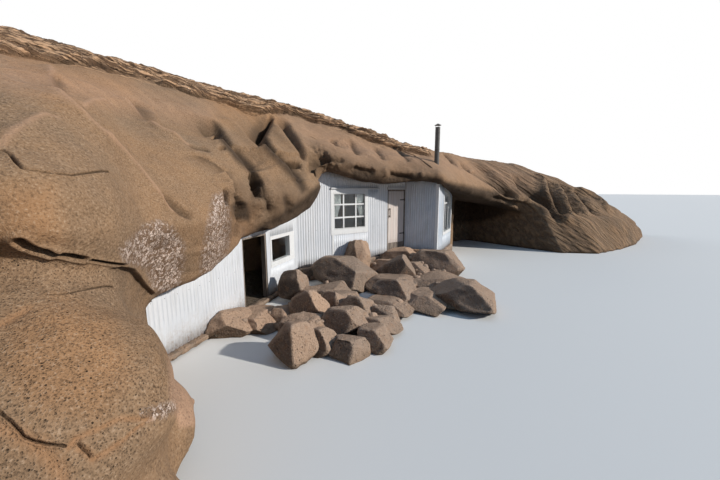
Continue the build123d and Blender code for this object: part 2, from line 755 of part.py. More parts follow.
def wing_window_outline():
    """The wing window's outline: its head curves down to the right, as the rock beside it does."""
    right = WING_WINDOW_LEFT + WING_WINDOW_WIDTH
    fall = WING_WINDOW_HEAD - WING_WINDOW_SHOULDER
    curve = []
    for i in range(WING_HEAD_STEPS + 1):
        a = math.radians(90 * i / WING_HEAD_STEPS)
        s = WING_WINDOW_LEFT + WING_WINDOW_WIDTH * math.cos(a)
        curve.append((s, WING_WINDOW_SHOULDER + fall * math.sin(a)))
    return [(WING_WINDOW_LEFT, WING_WINDOW_SILL), (right, WING_WINDOW_SILL)] + curve


def inset(outline, margin):
    """A convex outline, counter-clockwise, with every side moved in by a margin; a negative one grows it."""
    moved = []
    for (xa, ya), (xb, yb) in zip(outline, outline[1:] + outline[:1]):
        length = math.hypot(xb - xa, yb - ya)
        nx, ny = -(yb - ya) / length, (xb - xa) / length
        moved.append(((xa + nx * margin, ya + ny * margin), (xb - xa, yb - ya)))
    corners = []
    for (pa, da), (pb, db) in zip(moved[-1:] + moved[:-1], moved):
        cross = da[0] * db[1] - da[1] * db[0]
        t = ((pb[0] - pa[0]) * db[1] - (pb[1] - pa[1]) * db[0]) / cross
        corners.append((pa[0] + da[0] * t, pa[1] + da[1] * t))
    return corners


def window_joinery(frame, outline, casing, columns, rows):
    """A fixed window: casing on the wall's face, bars, and one sheet of glass behind the bars."""
    left, bottom = outline[0]
    right, top = outline[1][0], max(z for s, z in outline)
    lining = panel(frame, outline, FRAME_PROUD, -WALL_THICKNESS)
    inner = inset(outline, WINDOW_LINING)
    daylight = panel(frame, inner, 2 * FRAME_PROUD, -WALL_THICKNESS - FRAME_PROUD)
    ring = panel(frame, casing, FRAME_PROUD, 0) - panel(frame, outline, 2 * FRAME_PROUD, -FRAME_PROUD)
    joinery = (lining - daylight) + ring
    bars = [rectangle(s - SASH_BAR / 2, bottom, SASH_BAR, top - bottom) for s in columns]
    bars += [rectangle(left, z - SASH_BAR / 2, right - left, SASH_BAR) for z in rows]
    for bar in bars:
        joinery += panel(frame, bar, -BAR_SETBACK, -GLASS_SETBACK) & panel(frame, inner, 0, -WALL_THICKNESS)
    glass = panel(frame, inner, -GLASS_SETBACK, -GLASS_SETBACK - GLASS)
    return joinery, glass


def build_windows():
    columns = [HOUSE_WINDOW_LEFT + HOUSE_WINDOW_SIZE[0] * share for share in HOUSE_WINDOW_COLUMNS]
    rows = [HOUSE_WINDOW_SILL + HOUSE_WINDOW_SIZE[1] * share for share in HOUSE_WINDOW_ROWS]
    wing_columns = [WING_WINDOW_LEFT + WING_WINDOW_WIDTH * share for share in WING_WINDOW_COLUMNS]
    wing_casing = inset(wing_window_outline(), -WING_CASING)
    barn_frame, barn_glass = window_joinery(
        BARN_FRAME, barn_window_outline(), barn_casing_outline(), [], [])
    house_frame, house_glass = window_joinery(
        HOUSE_FRAME, house_window_outline(), house_casing_outline(), columns, rows)
    wing_frame, wing_glass = window_joinery(
        WING_FRONT_FRAME, wing_window_outline(), wing_casing, wing_columns, [WING_WINDOW_TRANSOM])
    return {
        "barn_window_frame": barn_frame, "barn_window_glass": barn_glass,
        "house_window_frame": house_frame, "house_window_glass": house_glass,
        "wing_window_frame": wing_frame, "wing_window_glass": wing_glass,
        "window_curtains": window_curtains(),
    }


def window_curtains():
    """Two curtains that hang from the house window's head, one at each side of it."""
    left = HOUSE_WINDOW_LEFT + WINDOW_LINING
    right = HOUSE_WINDOW_LEFT + HOUSE_WINDOW_SIZE[0] - WINDOW_LINING
    bottom = HOUSE_WINDOW_SILL + WINDOW_LINING
    top = HOUSE_WINDOW_SILL + HOUSE_WINDOW_SIZE[1] - WINDOW_LINING
    foot = max(bottom, top - CURTAIN_LENGTH)
    hung = []
    for edge in (left, right - CURTAIN_WIDTH):
        outline = rectangle(edge, foot, CURTAIN_WIDTH, top - foot)
        hung.append(panel(HOUSE_FRAME, outline, -CURTAIN_SETBACK, -CURTAIN_SETBACK - CURTAIN))
    return hung[0] + hung[1]


def build_trim(rock):
    """Boards on the front: drip board over the house window, corner boards, door header."""
    drip = panel(HOUSE_FRAME, drip_outline(), DRIP_BOARD[1], 0)
    corner = panel(HOUSE_FRAME, corner_board_outline(), BOARD, 0)
    header = panel(HOUSE_FRAME, header_outline(), HEADER_BOARD[1], 0)
    wing_top = wall_head(OUTER[2].X, OUTER[3].X)
    height = wing_top - FOOTING_TOP_HOUSE
    side_left = WING_SIDE_LENGTH - WING_CORNER_BOARD
    side = rectangle(side_left, FOOTING_TOP_HOUSE, WING_CORNER_BOARD + FLASHING, height)
    front = rectangle(0, FOOTING_TOP_HOUSE, WING_CORNER_BOARD, height)
    flashing = panel(WING_SIDE_FRAME, side, FLASHING, 0) + panel(WING_FRONT_FRAME, front, FLASHING, 0)
    return {
        "window_drip_board": drip,
        "corner_board": corner + under_rock(flashing, rock),
        "door_header": header,
    }


def build_barn_door_frame():
    """The timber reveal of the open barn doorway."""
    far = -BARN_DOOR_NEAR - BARN_DOOR_WIDTH
    height = BARN_DOOR_HEAD - FOOTING_TOP_BARN
    outer = rectangle(far, FOOTING_TOP_BARN, BARN_DOOR_WIDTH, height)
    clear_width = BARN_DOOR_WIDTH - 2 * BARN_REVEAL
    opening = rectangle(far + BARN_REVEAL, FOOTING_TOP_BARN - BARN_REVEAL, clear_width, height)
    return panel(BARN_FRAME, outer, SHEET_BACK, -WALL_THICKNESS) - wall_hole(BARN_FRAME, opening)


def build_door():
    """The house door: jambs and head, a plank leaf, its two hinges and its pull."""
    left, right = DOOR_LEFT, DOOR_LEFT + DOOR_OPENING
    back = WALL_THICKNESS
    root = (INNER[2].X, INNER[2].Y)
    left_jamb = prism([(left - DOOR_JAMB, 0), (left, 0), (left, back), (left - DOOR_JAMB, back)],
                      FOOTING_TOP_HOUSE, DOOR_HEAD)
    right_jamb = prism([(right, 0), (HOUSE_LENGTH, 0), root, (right, back)], FOOTING_TOP_HOUSE, DOOR_HEAD)
    head = prism([(left - DOOR_JAMB, 0), (HOUSE_LENGTH, 0), root, (left - DOOR_JAMB, back)],
                 DOOR_HEAD, DOOR_HEAD + DOOR_JAMB)
    sill_plan = [(left, 0), (right, 0), (right, back), (left, back)]
    threshold = prism(sill_plan, FOOTING_TOP_HOUSE, HOUSE_FLOOR_TOP)
    leaf_left, leaf_right = left + DOOR_GAP, right - DOOR_GAP
    leaf = prism([(leaf_left, 0), (leaf_right, 0), (leaf_right, DOOR_LEAF), (leaf_left, DOOR_LEAF)],
                 HOUSE_FLOOR_TOP + DOOR_GAP, DOOR_HEAD - DOOR_GAP)
    fixed, moving = door_hinges(right, leaf_right)
    return {
        "door_frame": left_jamb + right_jamb + head + threshold,
        "house_door": leaf,
        "door_hinge_plates": fixed,
        "door_hinge_straps": moving,
        "door_handle": door_handle(leaf_left),
    }


def knuckle(x, y, z, length, radius):
    return Pos(x, y, z + length / 2) * Cylinder(radius, length)


def door_hinges(jamb_x, leaf_x):
    """Two strap hinges: plates with pins on the jamb, straps with eyes on the leaf."""
    axis_x = (jamb_x + leaf_x) / 2
    axis_y = -HINGE_RADIUS - HINGE_STANDOFF
    third = HINGE_LENGTH / 3
    clear_of_eye = HINGE_RADIUS + HINGE_EYE_CLEARANCE
    strap_width = third + 2 * STRAP_FLARE
    bore_radius = HINGE_PIN_RADIUS + HINGE_PIN_GAP
    fixed, moving = [], []
    for base in (HOUSE_FLOOR_TOP + HINGE_INSET, DOOR_HEAD - HINGE_INSET - HINGE_LENGTH):
        eye_base, eye_top = base + third, base + 2 * third
        plate_left = axis_x + clear_of_eye
        plate = flat_bar(plate_left, plate_left + HINGE_PLATE_WIDTH, base, HINGE_LENGTH)
        plate += knuckle(axis_x, axis_y, base, HINGE_LENGTH, HINGE_PIN_RADIUS)
        for start in (base, eye_top + HINGE_END_GAP):
            height = third - HINGE_END_GAP
            plate += knuckle(axis_x, axis_y, start, height, HINGE_RADIUS)
            plate += flat_bar(axis_x, axis_x + clear_of_eye, start, height)
        eye = knuckle(axis_x, axis_y, eye_base, third, HINGE_RADIUS)
        eye += flat_bar(axis_x - clear_of_eye, axis_x, eye_base, third)
        eye += flat_bar(axis_x - STRAP_LENGTH, axis_x - clear_of_eye, eye_base - STRAP_FLARE, strap_width)
        bore_base = eye_base - HINGE_BORE_MARGIN
        eye -= knuckle(axis_x, axis_y, bore_base, third + 2 * HINGE_BORE_MARGIN, bore_radius)
        fixed.append(plate)
        moving.append(eye)
    return fixed[0] + fixed[1], moving[0] + moving[1]


def flat_bar(left, right, bottom, height):
    """A thin iron bar on the face of the door or its jamb."""
    plan = [(left, -HINGE_PLATE), (right, -HINGE_PLATE), (right, 0), (left, 0)]
    return prism(plan, bottom, bottom + height)


def door_handle(leaf_left):
    """A bent iron pull on the leaf's free edge."""
    x = leaf_left + HANDLE_INSET
    top = HANDLE_HEIGHT + HANDLE_LENGTH
    bar = knuckle(x, -HANDLE_STANDOFF, HANDLE_HEIGHT, HANDLE_LENGTH, HANDLE_RADIUS)
    pull = bar
    for z in (HANDLE_HEIGHT + HANDLE_RADIUS, top - HANDLE_RADIUS):
        stem = Cylinder(HANDLE_RADIUS * HANDLE_STEM_SHARE, HANDLE_STANDOFF)
        pull += Pos(x, -HANDLE_STANDOFF / 2, z) * Rot(90, 0, 0) * stem
    return pull


def build_pipe():
    """The stove pipe and its rain cap on three stays."""
    x, y = PIPE_PLACE
    middle, length = (PIPE_FOOT + PIPE_TOP) / 2, PIPE_TOP - PIPE_FOOT
    tube = Pos(x, y, middle) * Cylinder(PIPE_RADIUS, length)
    tube -= Pos(x, y, middle + PIPE_BASE) * Cylinder(PIPE_RADIUS - PIPE_WALL, length)
    cap = Pos(x, y, PIPE_TOP + CAP_GAP + CAP_RISE / 2) * Cone(CAP_RADIUS, CAP_TIP_RADIUS, CAP_RISE)
    for turn in CAP_STAY_TURNS:
        a = math.radians(turn)
        reach = PIPE_RADIUS - PIPE_WALL / 2
        stay = Box(CAP_STAY, CAP_STAY, CAP_GAP)
        cap += Pos(x + reach * math.cos(a), y + reach * math.sin(a), PIPE_TOP + CAP_GAP / 2) * stay
    return {"stove_pipe": tube, "pipe_cap": cap}


def pipe_socket():
    """The space in the rock that the pipe's foot stands in."""
    x, y = PIPE_PLACE
    return Pos(x, y, (PIPE_FOOT + PIPE_TOP) / 2) * Cylinder(PIPE_RADIUS, PIPE_TOP - PIPE_FOOT)


def boulder_bank():
    """The bank of boulders that holds up the ground in front of the house, fitted to the footings."""
    bank = None
    for number, (share, out, width, top) in enumerate(BOULDERS):
        height = top + BOULDER_BELOW
        centre = (share * HOUSE_LENGTH, out, top - height / 2)
        across = width * HOUSE_LENGTH / BANK_HOUSE
        stone = lobe(centre, (across, across * BOULDER_DEPTH_SHARE, height), BOULDER_TURN * number)
        bank = stone if bank is None else bank + stone
    bank = above_ground(bank)
    behind = [(LEDGE[-1].X, BANK_FIELD), (LEDGE[0].X, BANK_FIELD)]
    return bank - prism([(p.X, p.Y) for p in LEDGE] + behind, -1, BANK_FIELD)


def main():
    rock = build_rock()
    roofs = [rock["rock_left_buttress"]]
    roofs += [rock["rock_roof_" + place] for place in ("barn", "house", "wing", "hollow")]
    pieces = dict(rock)
    pieces["rock_roof_wing"] = rock["rock_roof_wing"] - pipe_socket()
    pieces.update(build_ground_work())
    pieces["barn_footing"] = footing(0, FOOTING_TOP_BARN) - rock["rock_left_buttress"]
    pieces["house_footing"] = footing(1, FOOTING_TOP_HOUSE)
    pieces["wing_footing"] = footing(2, FOOTING_TOP_HOUSE) + footing(3, FOOTING_TOP_HOUSE)
    pieces["rock_pier"] = rock_pier(roofs)
    pieces.update(build_walls(roofs))
    pieces.update(build_cladding(roofs))
    pieces.update(build_windows())
    pieces.update(build_trim(roofs))
    pieces["barn_door_frame"] = build_barn_door_frame()
    pieces.update(build_door())
    pieces.update(build_pipe())
    pieces["boulder_bank"] = boulder_bank()
    os.makedirs("parts", exist_ok=True)
    for name, solid in pieces.items():
        print(name, solid.is_valid, len(solid.solids()), round(solid.volume / 1e9, 4), len(solid.faces()))
        export_step(solid, f"parts/{name}.step")


if __name__ == "__main__":
    main()
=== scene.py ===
"""Looks of the cave dwelling: weathered rock, boulders, corrugated sheets, curtains and door."""
import json
import math

import bmesh
import bpy
import numpy as np
from mathutils import Euler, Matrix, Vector
from mathutils.bvhtree import BVHTree


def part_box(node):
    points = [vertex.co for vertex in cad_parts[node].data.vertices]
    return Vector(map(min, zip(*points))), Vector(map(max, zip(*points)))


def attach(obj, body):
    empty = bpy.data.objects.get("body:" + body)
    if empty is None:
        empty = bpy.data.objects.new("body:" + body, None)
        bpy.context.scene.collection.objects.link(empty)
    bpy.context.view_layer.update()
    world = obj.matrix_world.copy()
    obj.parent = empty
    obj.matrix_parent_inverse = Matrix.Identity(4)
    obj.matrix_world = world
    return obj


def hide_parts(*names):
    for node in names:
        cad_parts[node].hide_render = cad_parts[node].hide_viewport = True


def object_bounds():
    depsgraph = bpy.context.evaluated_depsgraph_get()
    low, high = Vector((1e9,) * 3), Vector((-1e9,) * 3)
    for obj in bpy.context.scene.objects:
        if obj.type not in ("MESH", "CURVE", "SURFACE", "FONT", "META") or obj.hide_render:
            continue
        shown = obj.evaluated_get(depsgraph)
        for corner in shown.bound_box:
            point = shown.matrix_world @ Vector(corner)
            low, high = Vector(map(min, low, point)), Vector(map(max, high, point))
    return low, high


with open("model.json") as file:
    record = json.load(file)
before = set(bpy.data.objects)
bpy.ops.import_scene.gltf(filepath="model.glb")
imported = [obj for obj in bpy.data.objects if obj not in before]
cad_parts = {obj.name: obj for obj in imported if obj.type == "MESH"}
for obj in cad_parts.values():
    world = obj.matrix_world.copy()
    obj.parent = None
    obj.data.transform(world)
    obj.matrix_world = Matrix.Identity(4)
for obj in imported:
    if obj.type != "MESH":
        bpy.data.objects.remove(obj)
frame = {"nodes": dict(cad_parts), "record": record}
CAD_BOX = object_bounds()
NODES = frame["nodes"]
UP = Vector((0, 0, 1))

# Camera at the photograph's viewing angle, and the frame that picture points below refer to
EYE = Vector((-3.787, -7.896, 2.5))
LENS_MM = 16.0
SENSOR_MM = 36.0
PITCH_DOWN = 8.706
YAW_RIGHT = 36.97
CAMERA_REACH = 400
PICTURE_SIZE = (720, 480)
PICTURE_FOCUS = PICTURE_SIZE[0] * LENS_MM / SENSOR_MM

# Light. Each sun has a direction towards it, a strength and a spread. The fill is for the hidden sides
SUNS = (("key", (0.63, -0.775, 0.47), 3.5, 1.6), ("fill", (-0.45, 0.80, 0.40), 0.55, 25.0))
SUN_COLOR = (1.0, 0.95, 0.87)
SKY_COLOR = (0.38, 0.64, 1.0)
SKY_STRENGTH = 0.34
FLOOR_PALE = (0.80, 0.80, 0.79)
FLOOR_BOUNCE = (0.20, 0.18, 0.15)
FLOOR_DROP = 0.002
FLOOR_SPAN = 300.0

# Plan of the front: lengths and directions of its walls, and the run of the wing's side wall
HOUSE_LENGTH = 4.088
BARN_LENGTH = 4.6
WING_FRONT_LENGTH = 2.6
BARN_TURN = 37.49
WING_TURN = 27.4
WING_RUN = (0.518, -0.998)
WING_ROOT = (HOUSE_LENGTH, 0.0)
WING_CORNER = (HOUSE_LENGTH + WING_RUN[0], WING_RUN[1])
WING_SIDE_LENGTH = math.dist(WING_ROOT, WING_CORNER)

# Rock skin: where each piece starts along the front, and the solids that it hides
ROCK_PIECES = {
    "rock_skin_buttress": (-99.0, ["rock_left_buttress"]),
    "rock_skin_barn_left": (-3.62, ["rock_roof_barn"]),
    "rock_skin_barn": (-1.7, ["rock_roof_barn", "rock_back_barn"]),
    "rock_skin_house": (0.35, ["rock_roof_house", "rock_roof_wing", "rock_back_house"]),
    "rock_skin_hollow": (6.96, ["rock_roof_hollow", "rock_back_hollow", "rock_pier"]),
    "rock_skin_flank": (10.4, ["rock_right_flank"]),
    "rock_skin_toe": (14.6, ["rock_right_toe"]),
}
ROCK_FACE = 0.085
ROCK_SMOOTHING = 7
ROCK_RELAXING = 22
# Distances from the camera within which faces are divided once and twice
FINE_REACHES = (15.0, 6.6)
# Widths of a stroke within which its faces are divided further, and the widest stroke that this is for
STROKE_REACHES = ((1.5, 0.16), (1.6, 0.045))
# Left, right, top and bottom of the picture part whose faces are divided
FINE_VIEW = (-60, 660, -20, 500)
FOOT_BAND = 0.05
# Column left of which and row below which the buttress has soil in its seams
LOW_PART = (170, 300)
# Picture points between two rays along a stroke
TRACE_STEP = 4.0
# How far the width of each kind of stroke wanders, which kinds fade at their ends, and over what share
STROKE_WANDER = {"slot": 0.35, "crevice": 0.5, "seam": 0.6, "flute": 0.25, "ridge": 0.25}
TAPERED = ("ridge", "flute", "groove", "crest")
TAPER_SHARE = 0.16
# Dip of the thin beds, and the direction in which the slope is fluted
BED_DIP = 0.17
SLOPE_RUN = (0.55, -0.60, -0.58)

# Bumps of soft noise: size, seed and depth of each
LATTICE = 32
STROKE_BENDS = ((0.3, 5, 0.3), (0.09, 6, 0.22), (0.04, 7, 0.12))
SWELLS = ((1.1, 11, 0.055), (0.55, 12, 0.028), (0.26, 13, 0.011), (0.13, 14, 0.005))
FINE_GRAIN = (0.06, 15, 0.003)
RUGGED_BUMPS = ((0.20, 18, 0.05), (0.08, 19, 0.028))
BED_BENDS = ((1.4, 16, 0.18), (0.4, 17, 0.05))
STONE_LUMPS = ((0.9, 31, 1.1), (0.42, 32, 0.8), (0.19, 33, 0.5), (0.09, 34, 0.25))
BANK_CORE_BUMPS = ((0.12, 41, 0.02), (0.05, 42, 0.008))
FOOTING_CORE_BUMPS = ((0.16, 51, 0.010), (0.06, 52, 0.006))

# Cladding: the wave of the sheets, and the stretches of wall that each cladding covers
SHEET_PITCH = 0.076
SHEET_DEPTH = 0.018
SHEET_THICK = 0.001
SHEET_COVER = 0.76
SHEET_STEPS = 8
SHEET_ROW = 0.25
SHEET_INTO_ROCK = 0.12
SHEET_LAP = 0.0016
SHEET_STRETCHES = {
    "barn": [("barn", -BARN_LENGTH, -0.006)],
    "house": [("house", 0.006, HOUSE_LENGTH - 0.01)],
    "wing": [("wing_side", 0.01, WING_SIDE_LENGTH - 0.068), ("wing_front", 0.068, WING_FRONT_LENGTH)],
}
# Nails: heights of their rows, and for each wall where they start and end and how much higher they sit
NAIL_RADIUS = 0.006
NAIL_ROWS = (0.12, 0.95, 1.72, 2.4)
NAIL_EVERY = 3
NAIL_RUNS = {
    "barn": (-4.5, -0.1, 0.0),
    "house": (0.1, HOUSE_LENGTH - 0.1, 0.45),
    "wing_side": (0.1, 1.0, 0.45),
    "wing_front": (0.1, 2.3, 0.45),
}

# Boulders of the bank: place along and out from the house front, width, top and how brown each is
BOULDERS = [
    (-2.37, -2.00, 1.22, 0.42, 0.9), (-1.92, -2.15, 1.10, 0.33, 0.9), (-1.47, -2.35, 0.80, 0.33, 0.8),
    (-0.70, -1.33, 0.76, 0.75, 0.3), (-0.49, -1.70, 0.95, 0.45, 0.5), (0.84, -1.13, 1.74, 0.85, 0.15),
    (1.76, -0.42, 1.04, 1.10, 0.8), (2.21, -1.70, 0.86, 0.83, 0.2), (1.10, -2.76, 1.00, 0.60, 0.3),
    (3.47, -0.56, 1.50, 0.74, 0.9), (3.80, -1.77, 1.61, 0.85, 0.4), (2.04, -3.90, 1.50, 0.60, 0.5),
    (-1.06, -2.70, 0.76, 0.70, 1.0), (-0.53, -2.70, 0.56, 0.62, 0.6), (-0.19, -3.07, 0.82, 0.55, 0.4),
    (-0.76, -3.47, 0.74, 0.55, 0.5), (0.12, -3.52, 0.62, 0.42, 0.3), (-1.88, -3.70, 0.72, 0.60, 0.8),
    (-1.43, -3.73, 0.54, 0.42, 0.6), (-1.14, -4.10, 0.66, 0.35, 0.4), (-0.64, -4.10, 0.70, 0.35, 0.5),
    (-0.12, -1.90, 1.20, 0.48, 0.3), (1.64, -2.15, 1.50, 0.38, 0.4), (2.78, -2.75, 1.95, 0.38, 0.5),
    (2.94, -1.65, 1.15, 0.52, 0.4), (1.47, -3.35, 1.25, 0.33, 0.5), (-1.39, -3.15, 0.92, 0.42, 0.6),
    (2.53, -1.00, 1.26, 0.52, 0.6), (-0.25, -3.70, 0.90, 0.30, 0.4), (-0.16, -2.45, 1.05, 0.40, 0.4),
    (0.57, -3.08, 1.15, 0.30, 0.4),
]
BOULDER_BELOW = 0.12
BOULDER_DEPTH_SHARE = 0.95
BOULDER_FILL = 1.08
BOULDER_TURN = 37.0
BOULDER_SIDES = (((-0.86, -0.42, 0.28), 0.60), ((0.42, -0.66, 0.62), 0.68), ((0.1, 0.2, 0.97), 0.80))
RUBBLE_COUNT = 90
RUBBLE_TRIES = 6000
RUBBLE_SIZES = (0.13, 0.24)
RUBBLE_LOOK = 0.22
BANK_CORE_FACE = 0.08
BANK_CORE_SINK = 0.12
BANK_CORE_HEIGHT = 0.45

# Footing stones: along which walls, from where to where and up to what height
FOOTING_STONE = 0.34
FOOTING_COURSE = 0.2
FOOTING_OUT = 0.037
FOOTING_DEEP = 0.16
FOOTING_CORE_FACE = 0.045
FOOTING_CORE_SINK = 0.012
FOOTING_RUNS = (("barn", -BARN_LENGTH, 0.0, 0.10), ("house", 0.0, HOUSE_LENGTH, 0.40),
                ("wing_side", 0.0, 1.12, 0.40), ("wing_front", 0.0, 2.5, 0.40))
# Stretches along the walls within which no boulder reaches back into the footings
FOOTING_REACHES = {
    "barn": (-BARN_LENGTH - 0.4, 0.1),
    "house": (-0.3, HOUSE_LENGTH + 0.3),
    "wing_side": (-0.3, WING_SIDE_LENGTH + 0.3),
    "wing_front": (-0.3, WING_FRONT_LENGTH + 0.3),
}

# Curtains: cut width and height of each cloth, its hung width, its folds and its sweep to the side
CURTAIN_CUT = (0.44, 0.72)
CURTAIN_HUNG = 0.285
CURTAIN_FOLDS = 6
CURTAIN_ROWS = 24
CURTAIN_SWEEP_FROM = 0.42
CURTAIN_FOOT_SHARE = 0.55

# House door: planks of the leaf, and the plate behind its pull
DOOR_PLANKS = (0.118, 0.108, 0.124, 0.112, 0.121, 0.106)
PLANK_GAP = 0.003
PLANK_EDGE = 0.004
BOARD_EDGE = 0.003
PLATE_WIDTH = 0.052
PLATE_THICK = 0.003
PLATE_STEPS = 28

# Seams of the stove pipe: their heights, and the outline of a seam as (out from the pipe, up from its height)
PIPE_SEAMS = (3.34, 3.86, 4.38)
SEAM_SIDES = 40
SEAM_PROFILE = ((-0.001, -0.012), (0.0035, -0.010), (0.0035, 0.010), (-0.001, 0.012))

# Looks of stone: how much it shines, and the direction of its painted light: sides turned away from it get
# painted shade
STONE_SHINE = 0.25
SUNWARD_SIDE = (0.52, -0.40, 0.75)




def link(name, data):
    """An object of this data in the scene."""
    obj = bpy.data.objects.new(name, data)
    bpy.context.collection.objects.link(obj)
    return obj


def camera_turn():
    return Euler((math.radians(90 - PITCH_DOWN), 0, math.radians(-YAW_RIGHT)))


def make_camera():
    data = bpy.data.cameras.new("photo_camera")
    data.lens = LENS_MM
    data.sensor_width = SENSOR_MM
    data.sensor_fit = "HORIZONTAL"
    data.clip_end = CAMERA_REACH
    camera = link("photo_camera", data)
    camera.location = EYE
    camera.rotation_euler = camera_turn()
    bpy.context.scene.camera = camera


def make_light():
    for name, towards, strength, spread in SUNS:
        sun = bpy.data.lights.new(name, "SUN")
        sun.energy = strength
        sun.angle = math.radians(spread)
        sun.color = SUN_COLOR
        link(name, sun).rotation_euler = Vector(towards).to_track_quat("Z", "Y").to_euler()
    world = bpy.data.worlds.new("studio")
    world.use_nodes = True
    tree = world.node_tree
    tree.nodes.clear()
    out = tree.nodes.new("ShaderNodeOutputWorld")
    soft = add(tree, "Background", {"Color": (*SKY_COLOR, 1), "Strength": SKY_STRENGTH})
    white = add(tree, "Background", {"Color": (1, 1, 1, 1), "Strength": 1.0})
    chosen = add(tree, "MixShader", {0: seen_plainly(tree), 1: soft.outputs[0], 2: white.outputs[0]})
    tree.links.new(chosen.outputs[0], out.inputs["Surface"])
    bpy.context.scene.world = world


def seen_plainly(tree):
    """1 where a surface is seen straight, in a reflection or through glass, 0 where it only lights others."""
    path = add(tree, "LightPath").outputs
    seen = calc(tree, "MAXIMUM", path["Is Camera Ray"], path["Is Glossy Ray"])
    return calc(tree, "MAXIMUM", seen, path["Is Transmission Ray"])


def make_floor():
    mesh = bpy.data.meshes.new("floor")
    s = FLOOR_SPAN
    mesh.from_pydata([(-s, -s, 0), (s, -s, 0), (s, s, 0), (-s, s, 0)], [], [(0, 1, 2, 3)])
    floor = link("floor", mesh)
    floor.location.z = -FLOOR_DROP
    material = bpy.data.materials.new("floor")
    material.use_nodes = True
    tree = material.node_tree
    shader = tree.nodes["Principled BSDF"]
    shader.inputs["Roughness"].default_value = 0.9
    feed(tree, blend_colors(tree, seen_plainly(tree), FLOOR_BOUNCE, FLOOR_PALE), shader.inputs["Base Color"])
    mesh.materials.append(material)


# Shader nodes

class Value:
    """A number that a shader works out over a surface. A sum, product or the like of it is a Math node."""

    def __init__(self, socket, clamp=False):
        self.socket = socket
        self.clamp = clamp

    def joined(self, operation, first, second):
        return calc(self.socket.id_data, operation, first, second, self.clamp)

    def __add__(self, other):
        return self.joined("ADD", self, other)

    def __sub__(self, other):
        return self.joined("SUBTRACT", self, other)

    def __rsub__(self, other):
        return self.joined("SUBTRACT", other, self)

    def __mul__(self, other):
        return self.joined("MULTIPLY", self, other)

    def __truediv__(self, other):
        return self.joined("DIVIDE", self, other)

    def __rtruediv__(self, other):
        return self.joined("DIVIDE", other, self)


def feed(tree, value, target):
    """Links a value to a socket, or writes a plain number there."""
    if isinstance(value, Value):
        value = value.socket
    if isinstance(value, bpy.types.NodeSocket):
        tree.links.new(value, target)
    else:
        target.default_value = value


def add(tree, kind, inputs=None, **settings):
    """A shader node with its settings. Each input is a number or what feeds it."""
    node = tree.nodes.new("ShaderNode" + kind)
    for name, value in settings.items():
        setattr(node, name, value)
    for name, value in (inputs or {}).items():
        feed(tree, value, node.inputs[name])
    return node


def calc(tree, operation, first, second=0.0, clamp=False):
    node = add(tree, "Math", {0: first, 1: second}, operation=operation, use_clamp=clamp)
    return Value(node.outputs[0], clamp)


def vectors(tree, operation, first, second, output=0):
    return add(tree, "VectorMath", {0: first, 1: second}, operation=operation).outputs[output]


def blend_colors(tree, share, first, second):
    return add(tree, "Mix", {0: share, 6: opaque(first), 7: opaque(second)}, data_type="RGBA").outputs[2]


def opaque(color):
    return color if isinstance(color, bpy.types.NodeSocket) else (*color[:3], 1.0)


def darker(color, share):
    return tuple(channel * share for channel in color)


def ramp(tree, value, low, high, kind="SMOOTHSTEP"):
    """0 at low and 1 at high, also where high is the smaller."""
    node = add(tree, "MapRange", {"Value": value, "From Min": low, "From Max": high}, interpolation_type=kind)
    return Value(node.outputs[0])


def noise(tree, place, scale, detail, **inputs):
    node = add(tree, "TexNoise", {"Vector": place, "Scale": scale, "Detail": detail, **inputs})
    return Value(node.outputs[0])


def new_group(name, build, inputs):
    """A node group: its inputs have these defaults, and its outputs are what build returns."""
    tree = bpy.data.node_groups.new(name, "ShaderNodeTree")
    for label, default in inputs.items():
        kind = "NodeSocketFloat" if isinstance(default, float) else "NodeSocketVector"
        tree.interface.new_socket(label, in_out="INPUT", socket_type=kind).default_value = default
    given = tree.nodes.new("NodeGroupInput").outputs
    made = build(tree, *(Value(given[label]) for label in inputs))
    for label in made:
        tree.interface.new_socket(label, in_out="OUTPUT", socket_type="NodeSocketFloat")
    result = tree.nodes.new("NodeGroupOutput").inputs
    for label, value in made.items():
        feed(tree, value, result[label])
    return tree


def mottle_nodes(tree, position, size, contrast):
    """Cloudy variation from 0 to 1."""
    cloud = noise(tree, position, 1 / size, 5.0, Roughness=0.6)
    return {"Value": calc(tree, "ADD", (cloud - 0.5) * contrast, 0.5, clamp=True)}


def pits_nodes(tree, position, size, share):
    """1 on the surface and down to 0 in small round pits."""
    cells = add(tree, "TexVoronoi", {"Vector": position, "Scale": 1 / size, "Randomness": 1.0})
    return {"Value": ramp(tree, cells.outputs["Distance"], 0.0, share)}


def clasts_nodes(tree, position, size):
    """Stones set in a matrix: how pale each stone is, and how far it stands out."""
    scale = 1 / size
    bend = add(tree, "TexNoise", {"Vector": position, "Scale": scale, "Detail": 2.0})
    moved = add(tree, "MixRGB", {0: 0.08, 1: position, 2: bend.outputs["Color"]}, blend_type="ADD")
    look = {"Vector": moved.outputs[0], "Scale": scale, "Randomness": 1.0}
    cells = add(tree, "TexVoronoi", look)
    edge = add(tree, "TexVoronoi", look, feature="DISTANCE_TO_EDGE")
    split = add(tree, "SeparateColor", {0: cells.outputs["Color"]}).outputs
    body = ramp(tree, edge.outputs["Distance"], 0.04, 0.12)
    kept = ramp(tree, split[1], 0.25, 0.35)
    return {"Tone": ramp(tree, split[0], 0.1, 0.55), "Height": body * kept}


def runs_nodes(tree, position, size, share):
    """Streaks that run down a wall."""
    drawn = add(tree, "Mapping", {"Vector": position, "Scale": (1, 1, 0.06)}).outputs[0]
    streak = noise(tree, drawn, 1 / size, 4.0, Roughness=0.65)
    return {"Value": ramp(tree, streak, 0.75 - share * 0.5, 0.8, kind="LINEAR")}


